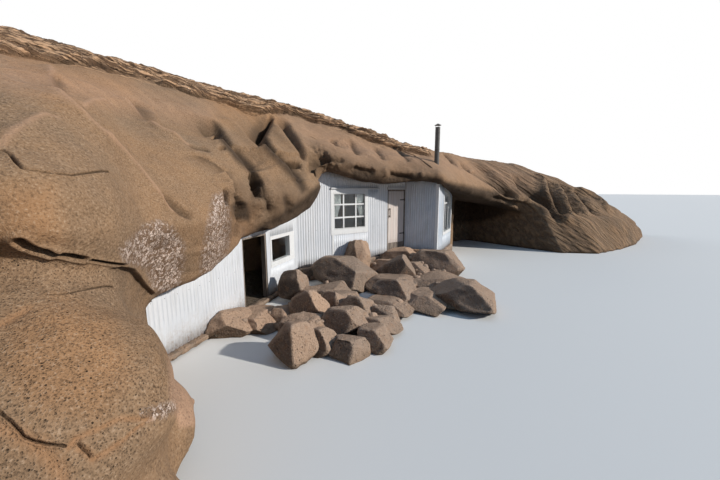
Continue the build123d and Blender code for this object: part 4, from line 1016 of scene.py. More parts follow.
# Strokes on the rock: kind, width and depth in metres, then a line of picture points
STROKES = [
    # The buttress: crevice between its lobes, cracks, the end of the upper lobe
    ("slot", 0.028, 0.16, [(20, 241), (27, 246), (38, 250), (52, 253)]),
    ("slot", 0.020, 0.11, [(52, 253), (70, 256), (89, 260)]),
    ("slot", 0.012, 0.06, [(89, 260), (108, 263), (128, 265)]),
    ("crevice", 0.011, 0.035, [(0, 146), (10, 151), (17, 160), (23, 166), (38, 169), (56, 172)]),
    ("crevice", 0.008, 0.022, [(56, 172), (73, 174), (90, 173), (111, 173)]),
    ("crevice", 0.007, 0.018, [(46, 295), (58, 294), (70, 293), (92, 289), (104, 287), (118, 288)]),
    ("crevice", 0.006, 0.025, [(0, 408), (6, 414), (12, 420), (18, 428), (24, 436), (34, 441), (46, 444),
                               (72, 446)]),
    ("seam", 0.035, 0.012, [(0, 424), (14, 432), (30, 442), (44, 452), (60, 470), (66, 482)]),
    ("seam", 0.016, 0.010, [(72, 446), (81, 438), (92, 432), (104, 427), (126, 417), (141, 418), (158, 420)]),
    ("seam", 0.018, 0.012, [(80, 437), (79, 443), (84, 448), (90, 450), (97, 459), (110, 452), (128, 440)]),
    ("crevice", 0.006, 0.022, [(83, 442), (88, 448), (93, 452), (97, 459)]),
    ("seam", 0.012, 0.008, [(128, 440), (140, 428), (150, 421)]),
    ("seam", 0.030, 0.010, [(0, 322), (12, 316), (24, 310), (34, 305)]),
    ("ledge", 0.06, 0.04, [(119, 266), (134, 270), (146, 284), (158, 298)]),
    ("slot", 0.04, 0.12, [(156, 298), (160, 300), (178, 296), (190, 288)]),
    ("ledge", 0.08, 0.06, [(160, 300), (178, 296), (203, 283), (215, 271), (232, 255), (241, 240)]),
    # Sharp pale crests between the shallow scallops over the barn
    ("crest", 0.16, 0.09, [(48, 70), (52, 84), (58, 98), (68, 108), (85, 121), (104, 136), (119, 150)]),
    ("crest", 0.18, 0.11, [(110, 94), (128, 104), (146, 118), (160, 130), (176, 138), (192, 146)]),
    ("crest", 0.12, 0.05, [(0, 141), (20, 128), (42, 119), (60, 117)]),
    ("crest", 0.14, 0.07, [(96, 126), (119, 150), (141, 178), (160, 199), (176, 212)]),
    ("crest", 0.10, 0.04, [(82, 108), (92, 100), (104, 100), (116, 104)]),
    ("groove", 0.20, 0.12, [(134, 98), (139, 106), (147, 118), (156, 127)]),
    ("groove", 0.14, 0.08, [(56, 80), (60, 92), (70, 104)]),
    ("dent", 0.09, 0.08, [(168, 200), (178, 206), (192, 215)]),
    ("dent", 0.06, 0.06, [(193, 147), (201, 149), (209, 151)]),
    ("ledge", 0.20, 0.05, [(200, 156), (212, 162), (224, 172), (232, 184), (238, 198)]),
    ("crevice", 0.010, 0.025, [(154, 99), (166, 101), (178, 104), (184, 106), (189, 111)]),
    # Deep flutes above the barn door, with long rounded folds between them
    ("flute", 0.30, 0.52, [(213, 120), (216, 127), (220, 134), (226, 142), (234, 150), (242, 159),
                           (250, 167), (258, 177)]),
    ("groove", 0.09, 0.12, [(254, 170), (260, 178), (266, 190), (269, 204), (269, 220)]),
    ("slot", 0.055, 0.16, [(232, 149), (240, 158), (250, 169), (258, 177), (264, 186)]),
    ("crest", 0.10, 0.05, [(208, 126), (213, 134), (220, 145), (230, 156), (241, 168), (250, 178)]),
    ("slot", 0.075, 0.20, [(272, 116), (266, 123), (261, 132)]),
    ("slot", 0.055, 0.16, [(261, 132), (265, 141), (272, 152), (281, 162), (290, 170), (298, 181)]),
    ("crest", 0.10, 0.05, [(256, 128), (257, 138), (263, 150), (273, 162), (283, 173)]),
    ("ridge", 0.22, 0.13, [(218, 112), (236, 124), (250, 136), (262, 148), (276, 163), (290, 180),
                           (298, 196)]),
    ("ridge", 0.20, 0.07, [(182, 108), (198, 118), (210, 134), (224, 152), (240, 172), (248, 190)]),
    ("flute", 0.28, 0.46, [(272, 116), (265, 123), (261, 132), (264, 140), (271, 150), (280, 160),
                           (290, 169), (298, 181),
                           (303, 195)]),
    ("ridge", 0.20, 0.12, [(272, 120), (282, 134), (294, 148), (306, 162)]),
    ("flute", 0.22, 0.28, [(284, 117), (290, 128), (298, 142), (305, 154), (311, 166)]),
    ("ridge", 0.20, 0.10, [(290, 172), (304, 184), (315, 196)]),
    ("dent", 0.26, 0.30, [(320, 162), (325, 172), (326, 182), (321, 191)]),
    ("dent", 0.07, 0.24, [(287, 160), (296, 162), (305, 164)]),
    ("pocket", 0.11, 0.30, [(256, 180), (258, 186), (259, 192), (260, 197)]),
    ("pocket", 0.20, 0.34, [(240, 206), (241, 214), (241, 224), (239, 232)]),
    ("pocket", 0.05, 0.20, [(227, 192), (229, 198), (230, 206)]),
    ("dent", 0.12, 0.06, [(286, 199), (287, 208), (286, 218)]),
    ("crevice", 0.014, 0.04, [(311, 136), (318, 139), (324, 143)]),
    ("ledge", 0.08, 0.12, [(266, 227), (280, 221), (292, 215), (304, 206), (312, 196)]),
    ("dent", 0.12, 0.12, [(326, 156), (336, 159), (346, 162)]),
    # Rough beds of stone under the skyline
    ("ledge", 0.09, 0.13, [(0, 50), (16, 52), (32, 54), (46, 58), (55, 60), (70, 62), (85, 65), (100, 67),
                           (111, 73)]),
    ("ledge", 0.09, 0.15, [(111, 70), (128, 73), (146, 76), (162, 84), (177, 88), (190, 94), (205, 97),
                           (215, 99)]),
    ("ledge", 0.09, 0.15, [(215, 99), (226, 102), (243, 107), (261, 111), (277, 111), (292, 113),
                           (308, 118), (322, 123)]),
    ("ledge", 0.10, 0.12, [(322, 122), (338, 127), (352, 133), (368, 139), (386, 145), (406, 150),
                           (430, 156)]),
    ("ledge", 0.05, 0.07, [(0, 39), (20, 44), (40, 50), (60, 55), (80, 58), (100, 62), (120, 66)]),
    ("ledge", 0.05, 0.07, [(120, 66), (150, 72), (180, 83), (210, 92), (240, 101), (262, 105), (292, 108)]),
    ("ledge", 0.05, 0.06, [(292, 109), (320, 117), (350, 128), (370, 135), (390, 142)]),
    ("slot", 0.03, 0.12, [(54, 60), (70, 63), (84, 66), (98, 69), (111, 74)]),
    ("slot", 0.04, 0.16, [(118, 72), (130, 74), (146, 77), (162, 85)]),
    ("slot", 0.04, 0.16, [(176, 90), (186, 94), (200, 97), (214, 100), (226, 103)]),
    ("slot", 0.04, 0.16, [(238, 107), (252, 111), (262, 112), (278, 112)]),
    ("slot", 0.03, 0.10, [(284, 112), (296, 115), (310, 120)]),
    ("slot", 0.03, 0.08, [(330, 124), (342, 128), (352, 133)]),
    # The lip over the house, and its rough underside
    ("dent", 0.10, 0.12, [(356, 169), (365, 172), (376, 173)]),
    ("dent", 0.11, 0.14, [(394, 175), (404, 177), (415, 177)]),
    ("ridge", 0.10, 0.07, [(383, 168), (386, 176), (388, 182)]),
    ("ridge", 0.10, 0.07, [(420, 172), (422, 178), (424, 183)]),
    ("groove", 0.15, 0.14, [(330, 138), (338, 144), (344, 151)]),
    ("groove", 0.16, 0.14, [(350, 140), (356, 150), (360, 161)]),
    ("groove", 0.16, 0.12, [(376, 147), (382, 157), (388, 166)]),
    ("groove", 0.15, 0.10, [(400, 150), (407, 159), (412, 168)]),
    ("crevice", 0.03, 0.07, [(392, 144), (402, 150), (414, 156), (424, 163), (434, 170)]),
    ("crevice", 0.02, 0.05, [(416, 148), (428, 154), (436, 160)]),
    # Flutes of the right-hand flank
    ("flute", 0.34, 0.26, [(458, 160), (470, 171), (480, 177), (494, 184), (505, 194), (521, 199)]),
    ("ridge", 0.22, 0.20, [(470, 160), (488, 171), (505, 184), (516, 194), (532, 203), (546, 212),
                           (560, 224)]),
    ("flute", 0.44, 0.28, [(511, 174), (517, 180), (524, 190), (537, 200), (552, 211), (566, 226)]),
    ("ridge", 0.24, 0.22, [(529, 172), (541, 180), (546, 193), (554, 207), (564, 216), (577, 228)]),
    ("groove", 0.20, 0.30, [(544, 176), (551, 187), (557, 199), (562, 211), (567, 223)]),
    ("ridge", 0.20, 0.16, [(554, 180), (562, 194), (568, 208), (573, 221)]),
    ("groove", 0.18, 0.26, [(560, 182), (568, 195), (574, 208), (579, 220)]),
    ("ridge", 0.18, 0.14, [(568, 185), (576, 198), (583, 211), (588, 222)]),
    ("groove", 0.18, 0.26, [(574, 188), (584, 199), (592, 209), (599, 219)]),
    ("ridge", 0.20, 0.18, [(574, 187), (591, 195), (604, 205), (610, 216)]),
    ("groove", 0.16, 0.24, [(592, 191), (604, 197), (612, 206)]),
    ("ledge", 0.14, 0.16, [(497, 196), (510, 200), (524, 203)]),
    ("groove", 0.20, 0.20, [(440, 150), (452, 160), (462, 172)]),
]

# Patches on the rock: over how many picture points each kind fades at its edge, and its picture outlines
PATCHES = {
    # Stones set in the rock
    "pebbly": (8.0, [
        [(131, 240), (143, 227), (158, 221), (172, 228), (184, 246), (183, 262), (180, 282), (170, 297),
         (154, 290), (147, 268), (126, 262), (120, 250)],
        [(214, 196), (222, 194), (229, 212), (229, 235), (226, 258), (212, 278), (203, 284), (201, 262),
         (207, 232)],
        [(142, 413), (158, 407), (172, 403), (176, 410), (160, 418), (146, 420)],
    ]),
    # Rough beds under the skyline
    "bedded": (6.0, [
        [(-70, -40), (0, 0), (100, 30), (200, 60), (300, 80), (430, 130), (430, 156), (386, 146), (322, 123),
         (292, 113), (261, 111), (215, 99), (162, 84), (111, 73), (55, 60), (0, 50), (-70, 40)],
    ]),
    # The buttress's lower lobe
    "speckled": (12.0, [
        [(-80, 235), (20, 243), (60, 258), (129, 268), (160, 300), (172, 340), (176, 400), (120, 480),
         (-80, 520)],
    ]),
    # The smooth pink lobe
    "smooth": (5.0, [[(168, 352), (190, 345), (206, 362), (206, 424), (180, 428), (170, 400)]]),
    "warm": (30.0, [
        [(10, 320), (60, 300), (110, 320), (130, 370), (100, 415), (40, 410), (0, 370)],
        [(208, 86), (280, 100), (280, 122), (214, 118)],
        [(232, 214), (252, 212), (252, 236), (232, 238)],
        [(0, 40), (50, 62), (130, 80), (130, 104), (60, 100), (0, 76)],
        [(0, 190), (50, 190), (60, 240), (0, 235)],
    ]),
    # Painted deep shade: the deep lines of two flutes, the undersides of the lip and the overhang, and the
    # face of the hollow
    "painted_deep_shade": (5.0, [
        [(213, 121), (219, 124), (225, 134), (232, 144), (242, 154), (253, 165), (261, 177), (256, 181),
         (247, 171), (235, 160), (226, 149), (219, 140), (214, 130)],
        [(260, 134), (266, 138), (272, 147), (281, 157), (290, 165), (300, 176), (308, 190), (302, 193),
         (293, 180), (284, 170), (274, 160), (264, 148)],
        [(352, 169), (368, 173), (384, 177), (400, 176), (420, 174), (442, 178), (442, 192), (352, 190)],
        [(258, 226), (270, 220), (284, 212), (302, 200), (313, 189), (326, 178), (334, 206), (306, 230),
         (258, 246)],
        [(446, 182), (500, 192), (508, 214), (480, 222), (446, 224)],
        [(251, 177), (262, 179), (264, 199), (253, 197)],
        [(231, 206), (238, 199), (247, 203), (251, 216), (249, 222), (234, 218)],
    ]),
    # Tops of the lip and the flank
    "pale": (24.0, [
        [(285, 116), (330, 126), (390, 142), (440, 152), (500, 164), (545, 176), (520, 190), (440, 172),
         (352, 160), (300, 136)],
        [(0, 60), (60, 74), (130, 90), (210, 112), (210, 124), (130, 108), (60, 92), (0, 84)],
    ]),
    # Painted half shade: brown rock under the flutes and along the lip, darkened
    "painted_half_shade": (10.0, [
        [(226, 190), (246, 178), (268, 176), (292, 184), (314, 190), (316, 204), (296, 222), (262, 236),
         (226, 246)],
        [(322, 150), (360, 160), (440, 166), (440, 180), (352, 178), (322, 172)],
        [(318, 150), (336, 152), (352, 158), (352, 178), (322, 176)],
    ]),
}


def picture_places(points):
    """Where points fall in the picture."""
    turn = np.array(camera_turn().to_matrix())
    local = (points - np.array(EYE)) @ turn
    ahead = np.maximum(-local[:, 2], 0.05)
    column = PICTURE_SIZE[0] / 2 + PICTURE_FOCUS * local[:, 0] / ahead
    row = PICTURE_SIZE[1] / 2 - PICTURE_FOCUS * local[:, 1] / ahead
    return np.stack([column, row], axis=1)


def inside_outline(places, outline, soft):
    """1 well inside a picture outline, 0 outside, and soft over a few picture points."""
    inside = np.zeros(len(places), bool)
    nearest = np.full(len(places), 1e9)
    corners = np.array(outline, float)
    for a, b in zip(corners, np.roll(corners, -1, axis=0)):
        crosses = (a[1] > places[:, 1]) != (b[1] > places[:, 1])
        with np.errstate(divide="ignore", invalid="ignore"):
            x = a[0] + (places[:, 1] - a[1]) * (b[0] - a[0]) / (b[1] - a[1])
        inside ^= crosses & (places[:, 0] < x)
        along = b - a
        t = np.clip((places - a) @ along / (along @ along), 0, 1)
        nearest = np.minimum(nearest, np.linalg.norm(places - a - t[:, None] * along, axis=1))
    signed = np.where(inside, nearest, -nearest)
    return np.clip(0.5 + signed / soft, 0, 1)


def carve_strokes(points, runs):
    """How far each point moves along its normal, how much painted shade it gets, and how near a pale crest it
    lies.
    """
    move = np.zeros(len(points))
    painted_recess_shade = np.zeros(len(points))
    crest = np.zeros(len(points))
    wander = noise_sum(points, *STROKE_BENDS)
    for kind, width, depth, run in runs:
        picked = near_run(points, run, width * 3.5)
        distance, above, share = distance_to(points[picked], run)
        ratio = distance / width * (1 + wander[picked] * STROKE_WANDER.get(kind, 1.0))
        rise, painted_shade, pale = stroke_profile(kind, ratio, above / width)
        if kind in TAPERED:
            end = np.clip(np.minimum(share, 1 - share) / TAPER_SHARE, 0, 1)
            rise = rise * end * end * (3 - 2 * end)
            painted_shade = painted_shade * end
        move[picked] += depth * rise
        painted_recess_shade[picked] = np.maximum(painted_recess_shade[picked], painted_shade)
        crest[picked] = np.maximum(crest[picked], pale)
    return move, painted_recess_shade, crest


def stroke_profile(kind, ratio, above):
    """Rise, painted shade and paleness across a stroke, at so many widths from its middle."""
    none = np.zeros(len(ratio))
    if kind == "ridge":
        return np.exp(-ratio ** 2), none, none
    if kind == "crest":
        return np.exp(-np.sqrt(ratio ** 2 + 0.01)), none, np.exp(-(ratio / 0.22) ** 2)
    if kind == "groove":
        return -np.exp(-np.sqrt(ratio ** 2 * 1.6 + 0.02)), 0.6 * np.exp(-(ratio / 0.6) ** 2), none
    if kind == "flute":
        hole = np.where(above > 0, np.exp(-np.sqrt(ratio ** 2 + 0.01) * 0.8), np.exp(-(ratio / 0.4) ** 2))
        # Painted shade on the side of the flute above its line
        shade = (0.35 * np.exp(-ratio * 0.7) + 0.55 / (1 + (ratio / 0.95) ** 6)) * (above > 0)
        return -hole, np.maximum(shade, 0.8 * np.exp(-(ratio / 0.3) ** 2)), none
    if kind == "seam":
        band = np.exp(-ratio ** 2)
        return -band, none, band
    if kind == "pocket":
        hole = 1 / (1 + (ratio / 0.85) ** 6)
        return -hole, 0.55 * hole, none
    if kind == "dent":
        hole = np.exp(-ratio ** 2)
        return -hole, 0.75 * hole, none
    if kind == "slot":
        hole = 1 / (1 + (ratio / 0.6) ** 4)
        return 0.15 * np.exp(-((ratio - 1.6) / 0.8) ** 2) - hole, hole, none
    if kind == "crevice":
        sharp = np.exp(-(ratio / 0.8) ** 2)
        return 0.25 * np.exp(-((ratio - 2.0) / 0.9) ** 2) - sharp, sharp, none
    side = np.tanh(above / 0.14)
    return side * np.exp(-ratio), np.exp(-ratio * 1.6) * (side < 0) * 0.7, none


def hold_off_walls(points):
    """0.3 beside the front walls, 1 away from them."""
    nearest = np.full(len(points), 9.0)
    for name, (_, _, _, start, end) in WALLS.items():
        s, depth = from_wall(name, points)
        beyond = np.maximum(0, np.maximum(start - s, s - end))
        nearest = np.minimum(nearest, np.hypot(depth, beyond))
    return 0.3 + 0.7 * np.clip(nearest / 0.5, 0, 1)


def bed_steps(level, thickness, rise, edge, depth):
    """Beds that stand out more and more up to an edge and fall back above it."""
    share = (level / thickness) % 1.0
    return (np.minimum(share * rise, 1.0) - (share > edge) * (share - edge) / (1 - edge)) * depth


def rock_relief(points, bedded, fine):
    """The weathered surface: broad swells, knobs, bed steps and grain."""
    level = points[:, 2] + BED_DIP * points[:, 0] + noise_sum(points, *BED_BENDS)
    rough = noise_sum(points, *RUGGED_BUMPS) + bed_steps(level, 0.11, 1.3, 0.75, 0.05)
    smooth = noise_sum(points, *SWELLS) + bed_steps(level, 0.42, 1.25, 0.8, 0.010)
    return smooth + noise_sum(points, FINE_GRAIN) * fine + bedded * rough


def build_rock(material):
    """The rock's skin: an even mesh over its solids, carved, roughened and given its material's masks."""
    names = sorted({node for _, replaced in ROCK_PIECES.values() for node in replaced})
    mesh = remeshed(joined_mesh(names), ROCK_FACE)
    points = smoothed(mesh, mesh_points(mesh), ROCK_SMOOTHING, [0.5])
    points = smoothed(mesh, points, ROCK_RELAXING, [0.5, -0.52])
    set_points(mesh, points)
    runs = traced_strokes(mesh, points)
    for reach in FINE_REACHES:
        refine_near(mesh, reach)
    for widths, widest in STROKE_REACHES:
        refine_strokes(mesh, runs, widths, widest)
    points = mesh_points(mesh)
    normals = mesh_normals(mesh)
    masks = rock_masks(points, normals)
    move, masks["painted_recess_shade"], masks["crest"] = carve_strokes(points, runs)
    lumps = np.abs(soft_noise(points, 0.10, 21)) * 0.008 + soft_noise(points, 0.05, 22) * 0.003
    away = np.linalg.norm(points - np.array(EYE), axis=1)
    fine = np.clip((12 - away) / 2, 0, 1)
    relief = rock_relief(points, masks["bedded"], fine) + masks["pebbly"] * lumps
    move += relief * hold_off_walls(points)
    grounded = np.clip(points[:, 2] / FOOT_BAND, 0, 1)
    moved = points + normals * (move * grounded)[:, None]
    moved[:, 2] = np.where(points[:, 2] < 0.03, 0.0, moved[:, 2])
    masks.update(rock_masks(moved, normals))
    set_points(mesh, np.clip(moved, *np.array(CAD_BOX)))
    low_part = masks.pop("low")
    masks["soil"] = np.where(low_part, masks["crest"] * 0.6, 0.0)
    masks["crest"] = np.where(low_part, 0.0, masks["crest"])
    for name, values in masks.items():
        store(mesh, name, values)
    split_rock(mesh, material, list(masks))


def rock_masks(points, normals):
    """Which kinds of rock lie where, from 0 to 1: by the patches in view, and by height out of view."""
    places = picture_places(points)
    towards = ((points - np.array(EYE)) * normals).sum(1) < 0.2
    masks = {}
    for name, (softness, outlines) in PATCHES.items():
        share = np.zeros(len(points))
        for outline in outlines:
            share = np.maximum(share, inside_outline(places, outline, softness))
        masks[name] = share * towards
    behind = np.clip((points[:, 2] - 3.4) / 0.8, 0, 1) * (soft_noise(points, 1.5, 23) > -0.2)
    masks["bedded"] = np.where(towards, masks["bedded"], behind * 0.6)
    low_behind = np.clip((1.6 - points[:, 2]) / 0.8, 0, 1)
    masks["speckled"] = np.where(towards, masks["speckled"], low_behind * 0.7)
    masks["fluted"] = np.clip((points[:, 0] - 7.5) / 2.0, 0, 1)
    column, row = LOW_PART
    masks["low"] = (places[:, 1] > row) & (places[:, 0] < column) & towards
    return masks


def split_rock(mesh, material, names):
    """Parts the skin into one piece per stretch of rock, shaded as one."""
    points = mesh_points(mesh)
    whole = mesh_normals(mesh)
    corners = read(mesh.loops, "vertex_index", kind=int)
    starts = read(mesh.polygons, "loop_start", kind=int)
    totals = read(mesh.polygons, "loop_total", kind=int)
    centre = points[corners[starts], 0]
    layers = {name: read(mesh.attributes[name].data, "value", kind=np.float32) for name in names}
    limits = [start for start, _ in ROCK_PIECES.values()] + [99.0]
    for (name, (start, replaced)), end in zip(ROCK_PIECES.items(), limits[1:]):
        faces = np.nonzero((centre >= start) & (centre < end))[0]
        polygons = [corners[starts[f]:starts[f] + totals[f]] for f in faces]
        used = np.unique(np.concatenate(polygons))
        renumber = np.full(len(points), -1)
        renumber[used] = np.arange(len(used))
        piece = bpy.data.meshes.new(name)
        piece.from_pydata(points[used].tolist(), [], [renumber[p].tolist() for p in polygons])
        for layer, values in layers.items():
            store(piece, layer, values[used])
        place_piece(name, piece, material, replaced)
        piece.normals_split_custom_set_from_vertices(whole[used].tolist())


# Walls

def direction(degrees):
    return math.cos(math.radians(degrees)), math.sin(math.radians(degrees))


def wall(origin, along, start, end):
    """Origin of a wall, its direction, its outward normal, and where along it the wall starts and ends."""
    return origin, along, (along[1], -along[0]), start, end


WALLS = {
    "barn": wall((0.0, 0.0), direction(BARN_TURN), -BARN_LENGTH, 0.0),
    "house": wall((0.0, 0.0), (1.0, 0.0), 0.0, HOUSE_LENGTH),
    "wing_side": wall(WING_ROOT, (WING_RUN[0] / WING_SIDE_LENGTH, WING_RUN[1] / WING_SIDE_LENGTH), 0.0,
                      WING_SIDE_LENGTH),
    "wing_front": wall(WING_CORNER, direction(WING_TURN), 0.0, WING_FRONT_LENGTH),
}


def on_wall(name, s, z, out):
    origin, along, normal, _, _ = WALLS[name]
    return Vector((origin[0] + along[0] * s + normal[0] * out, origin[1] + along[1] * s + normal[1] * out, z))


def from_wall(name, points):
    """How far points lie along a wall and out from it."""
    origin, along, out, _, _ = WALLS[name]
    flat = points[:, :2] - np.array(origin)
    return flat @ np.array(along), flat @ np.array(out)


def sheet_spans(tree, name, s):
    """The heights between which the sheet stands at s along a wall."""
    start = on_wall(name, s, -0.5, 0.001)
    heights = []
    for _ in range(12):
        hit = tree.ray_cast(start, UP)[0]
        if hit is None:
            break
        heights.append(hit.z)
        start = hit + UP * 0.0005
    spans = [list(pair) for pair in zip(heights[::2], heights[1::2])]
    if spans:
        spans[-1][1] += SHEET_INTO_ROCK
    return spans


def wave(s):
    """How far the sheet stands out at s along the wall."""
    middle = SHEET_DEPTH / 2
    curve = middle + (middle - 0.002) * math.cos(2 * math.pi * s / SHEET_PITCH)
    return curve + (SHEET_LAP if (s / SHEET_COVER) % 1.0 < 0.09 else 0.0)


def sheet_mesh(made, tree, name, start, end):
    """One stretch of sheet, column by column, with a gap wherever the cladding has an opening."""
    step = SHEET_PITCH / SHEET_STEPS
    places = [start + i * step for i in range(int((end - start) / step))] + [end]
    spans = [sheet_spans(tree, name, min(max(s, start + 0.002), end - 0.002)) for s in places]
    known = {}

    def corner(s, low, high, share):
        z = low + (high - low) * share
        key = (round(s, 4), round(z, 3))
        if key not in known:
            known[key] = made.verts.new(on_wall(name, s, z, wave(s)))
        return known[key]

    for near, far, left, right in zip(places, places[1:], spans, spans[1:]):
        if len(left) != len(right):
            left = right = min(left, right, key=len)
        for lower, upper in zip(left, right):
            rows = max(1, round((lower[1] - lower[0]) / SHEET_ROW))
            for k in range(rows):
                t, u = k / rows, (k + 1) / rows
                quad = [corner(near, *lower, t), corner(far, *upper, t), corner(far, *upper, u),
                        corner(near, *lower, u)]
                if len(set(quad)) == 4:
                    made.faces.new(quad)


def build_cladding(material, wing_shaded_material):
    for name, parts in SHEET_STRETCHES.items():
        tree = node_tree(name + "_cladding")
        made = bmesh.new()
        for part, start, end in parts:
            sheet_mesh(made, tree, part, start, end)
        mesh = mesh_of(made, name + "_sheets")
        paint = wing_shaded_material if name == "wing" else material
        obj = place_piece(name + "_sheets", mesh, paint, [name + "_cladding"])
        thick = obj.modifiers.new("thickness", "SOLIDIFY")
        thick.thickness = SHEET_THICK
        thick.offset = -1


def nail_heads(material):
    """Rows of round nail heads on the crests of the sheets."""
    made = bmesh.new()
    for name, (start, end, lift) in NAIL_RUNS.items():
        tree = node_tree(name.split("_")[0] + "_cladding")
        first = math.ceil(start / SHEET_PITCH)
        for number in range(first, int(end / SHEET_PITCH), NAIL_EVERY):
            s = number * SHEET_PITCH
            spans = sheet_spans(tree, name, s)
            for row in NAIL_ROWS:
                height = row + lift
                if any(bottom + 0.03 < height < top - 0.03 for bottom, top in spans):
                    nail_head(made, on_wall(name, s, height, SHEET_DEPTH - 0.001), WALLS[name][2])
    place_piece("sheet_nails", mesh_of(made, "sheet_nails"), material, smooth=False)


def nail_head(made, place, normal):
    turn = Vector((*normal, 0)).to_track_quat("Z", "Y").to_matrix().to_4x4()
    turn.translation = place
    bmesh.ops.create_cone(made, cap_ends=True, segments=8, radius1=NAIL_RADIUS, radius2=NAIL_RADIUS * 0.35,
                          depth=0.003, matrix=turn)


# Boulders

def stone_points(unit, size, seed, turn=0, flats=9, rough=0.036, sides=()):
    """Points of a weathered stone: a ball cut by flat faces, filled out to its box and roughened."""
    random = np.random.default_rng(seed)
    points = unit.copy()
    cuts = [(turned_points(np.array(side), -turn), depth) for side, depth in sides]
    for _ in range(flats):
        cuts.append((random.normal(size=3), random.uniform(0.58, 0.86)))
    for side, depth in cuts:
        normal = side / np.linalg.norm(side)
        over = np.maximum(points @ normal - depth, 0)
        points -= over[:, None] * normal
    points /= np.abs(points).max(0)
    points *= (1 + rough * (noise_sum(points + seed, *STONE_LUMPS) - 0.6))[:, None]
    points = np.clip(points, -1, 1) * np.array(size) / 2
    return turned_points(points, turn)


def turned_points(points, degrees):
    a = math.radians(degrees)
    return points @ np.array(((math.cos(a), math.sin(a), 0), (-math.sin(a), math.cos(a), 0), (0, 0, 1)))


def ball(divisions):
    made = bmesh.new()
    bmesh.ops.create_icosphere(made, subdivisions=divisions, radius=1)
    points = np.array([v.co for v in made.verts])
    faces = [[v.index for v in face.verts] for face in made.faces]
    made.free()
    return points, faces


class Heap:
    """Many stones gathered into one mesh, each with its tone."""

    def __init__(self):
        self.points, self.faces, self.tones = [], [], []
        self.count = 0

    def put(self, points, faces, tone):
        self.points.append(points)
        self.faces.extend([[i + self.count for i in face] for face in faces])
        self.tones.append(np.full(len(points), tone))
        self.count += len(points)

    def mesh(self, name):
        points = np.concatenate(self.points)
        points[:, 2] = np.maximum(points[:, 2], 0)
        mesh = bpy.data.meshes.new(name)
        mesh.from_pydata(points.tolist(), [], self.faces)
        store(mesh, "tone", np.concatenate(self.tones))
        return mesh


def in_front_of_walls(points, gap):
    """Moves points that lie behind the footings' front out to it."""
    for name, (start, end) in FOOTING_REACHES.items():
        s, depth = from_wall(name, points)
        behind = (s > start) & (s < end) & (depth < gap) & (depth > -1.5)
        points[behind, :2] += ((gap - depth[behind])[:, None]) * np.array(WALLS[name][2])
    return points


def build_boulders(stone, soil):
    """The bank: one stone per row of the table, rubble in its hollows and soil behind it."""
    heap = Heap()
    fine, coarse = ((ball(5), ball(4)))
    for number, (x, y, width, top, brown) in enumerate(BOULDERS):
        height = top + BOULDER_BELOW
        unit, faces = fine if width > 0.9 else coarse
        size = (width * BOULDER_FILL, width * BOULDER_DEPTH_SHARE * BOULDER_FILL, height)
        points = stone_points(unit, size, 100 + number, turn=BOULDER_TURN * number, sides=BOULDER_SIDES)
        points += np.array((x, y, top - height / 2))
        heap.put(in_front_of_walls(points, 0.03), faces, brown)
    add_rubble(heap, tree_of(np.concatenate(heap.points), heap.faces))
    mesh = heap.mesh("boulder_stones")
    place_piece("boulder_stones", mesh, stone, ["boulder_bank"])
    core = rough_core(["boulder_bank"], BANK_CORE_FACE, 6, BANK_CORE_BUMPS, BANK_CORE_SINK, BANK_CORE_HEIGHT)
    place_piece("bank_soil", core, soil)


def add_rubble(heap, bank):
    """Small stones that lie in the hollows and holes between the boulders."""
    random = np.random.default_rng(7)
    unit, faces = ball(2)
    placed = 0

    def height(x, y):
        hit = bank.ray_cast(Vector((x, y, 4)), -UP)[0]
        return hit.z if hit else 0.0

    for attempt in range(RUBBLE_TRIES):
        x, y = random.uniform(-2.7, 4.3), random.uniform(-4.4, -0.3)
        here = height(x, y)
        sides = ((RUBBLE_LOOK, 0), (-RUBBLE_LOOK, 0), (0, RUBBLE_LOOK), (0, -RUBBLE_LOOK))
        around = sorted(height(x + a, y + b) for a, b in sides)
        if around[0] < 0.05 or here > around[1] - 0.02:
            continue
        size = random.uniform(*RUBBLE_SIZES) * random.uniform(0.7, 1.2)
        shape = (size, size * random.uniform(0.6, 1.0), size * random.uniform(0.5, 0.9))
        points = stone_points(unit, shape, 300 + attempt, flats=8, rough=0.05, sides=BOULDER_SIDES)
        points += np.array((x, y, here - shape[2] * 0.1))
        heap.put(points, faces, random.uniform(0.2, 1.0))
        placed += 1
        if placed == RUBBLE_COUNT:
            break


def build_footings(stone):
    """Rough stones set into the front of each footing."""
    heap = Heap()
    random = np.random.default_rng(17)
    unit, faces = ball(3)
    for name, start, end, top in FOOTING_RUNS:
        courses = max(1, round(top / FOOTING_COURSE))
        rise = top / courses
        along = WALLS[name][1]
        angle = math.degrees(math.atan2(along[1], along[0]))
        for course in range(courses):
            s = start
            while s < end - 0.06:
                width = min(FOOTING_STONE * random.uniform(0.7, 1.35), end - s)
                centre = on_wall(name, s + width / 2, rise * (course + 0.5), FOOTING_OUT)
                shape = (width * 0.98, FOOTING_DEEP, rise * random.uniform(0.90, 0.99))
                rounded = stone_points(unit, shape, random.integers(999), flats=5, rough=0.03)
                points = turned_points(boxy(rounded, shape), angle) + np.array(centre)
                heap.put(points, faces, random.uniform(0.2, 1.0))
                s += width
    place_piece("footing_stones", heap.mesh("footing_stones"), stone)
    nodes = ["barn_footing", "house_footing", "wing_footing"]
    core = rough_core(nodes, FOOTING_CORE_FACE, 0, FOOTING_CORE_BUMPS, FOOTING_CORE_SINK)
    place_piece("footing_core", core, stone, nodes)


def boxy(points, shape):
    """Fills a rounded stone out towards its box."""
    unit = points / (np.array(shape) / 2)
    return np.sign(unit) * np.abs(unit) ** 0.55 * np.array(shape) / 2


# Cloth

def folded_row(cut, hung, folds):
    """Points along one gathered edge, as wide as hung and as long as cut along its folds."""
    low, high = 0.0, 0.03
    for _ in range(40):
        depth = (low + high) / 2
        row = fold_points(hung, folds, depth)
        if sum(math.dist(a, b) for a, b in zip(row, row[1:])) < cut:
            low = depth
        else:
            high = depth
    return row


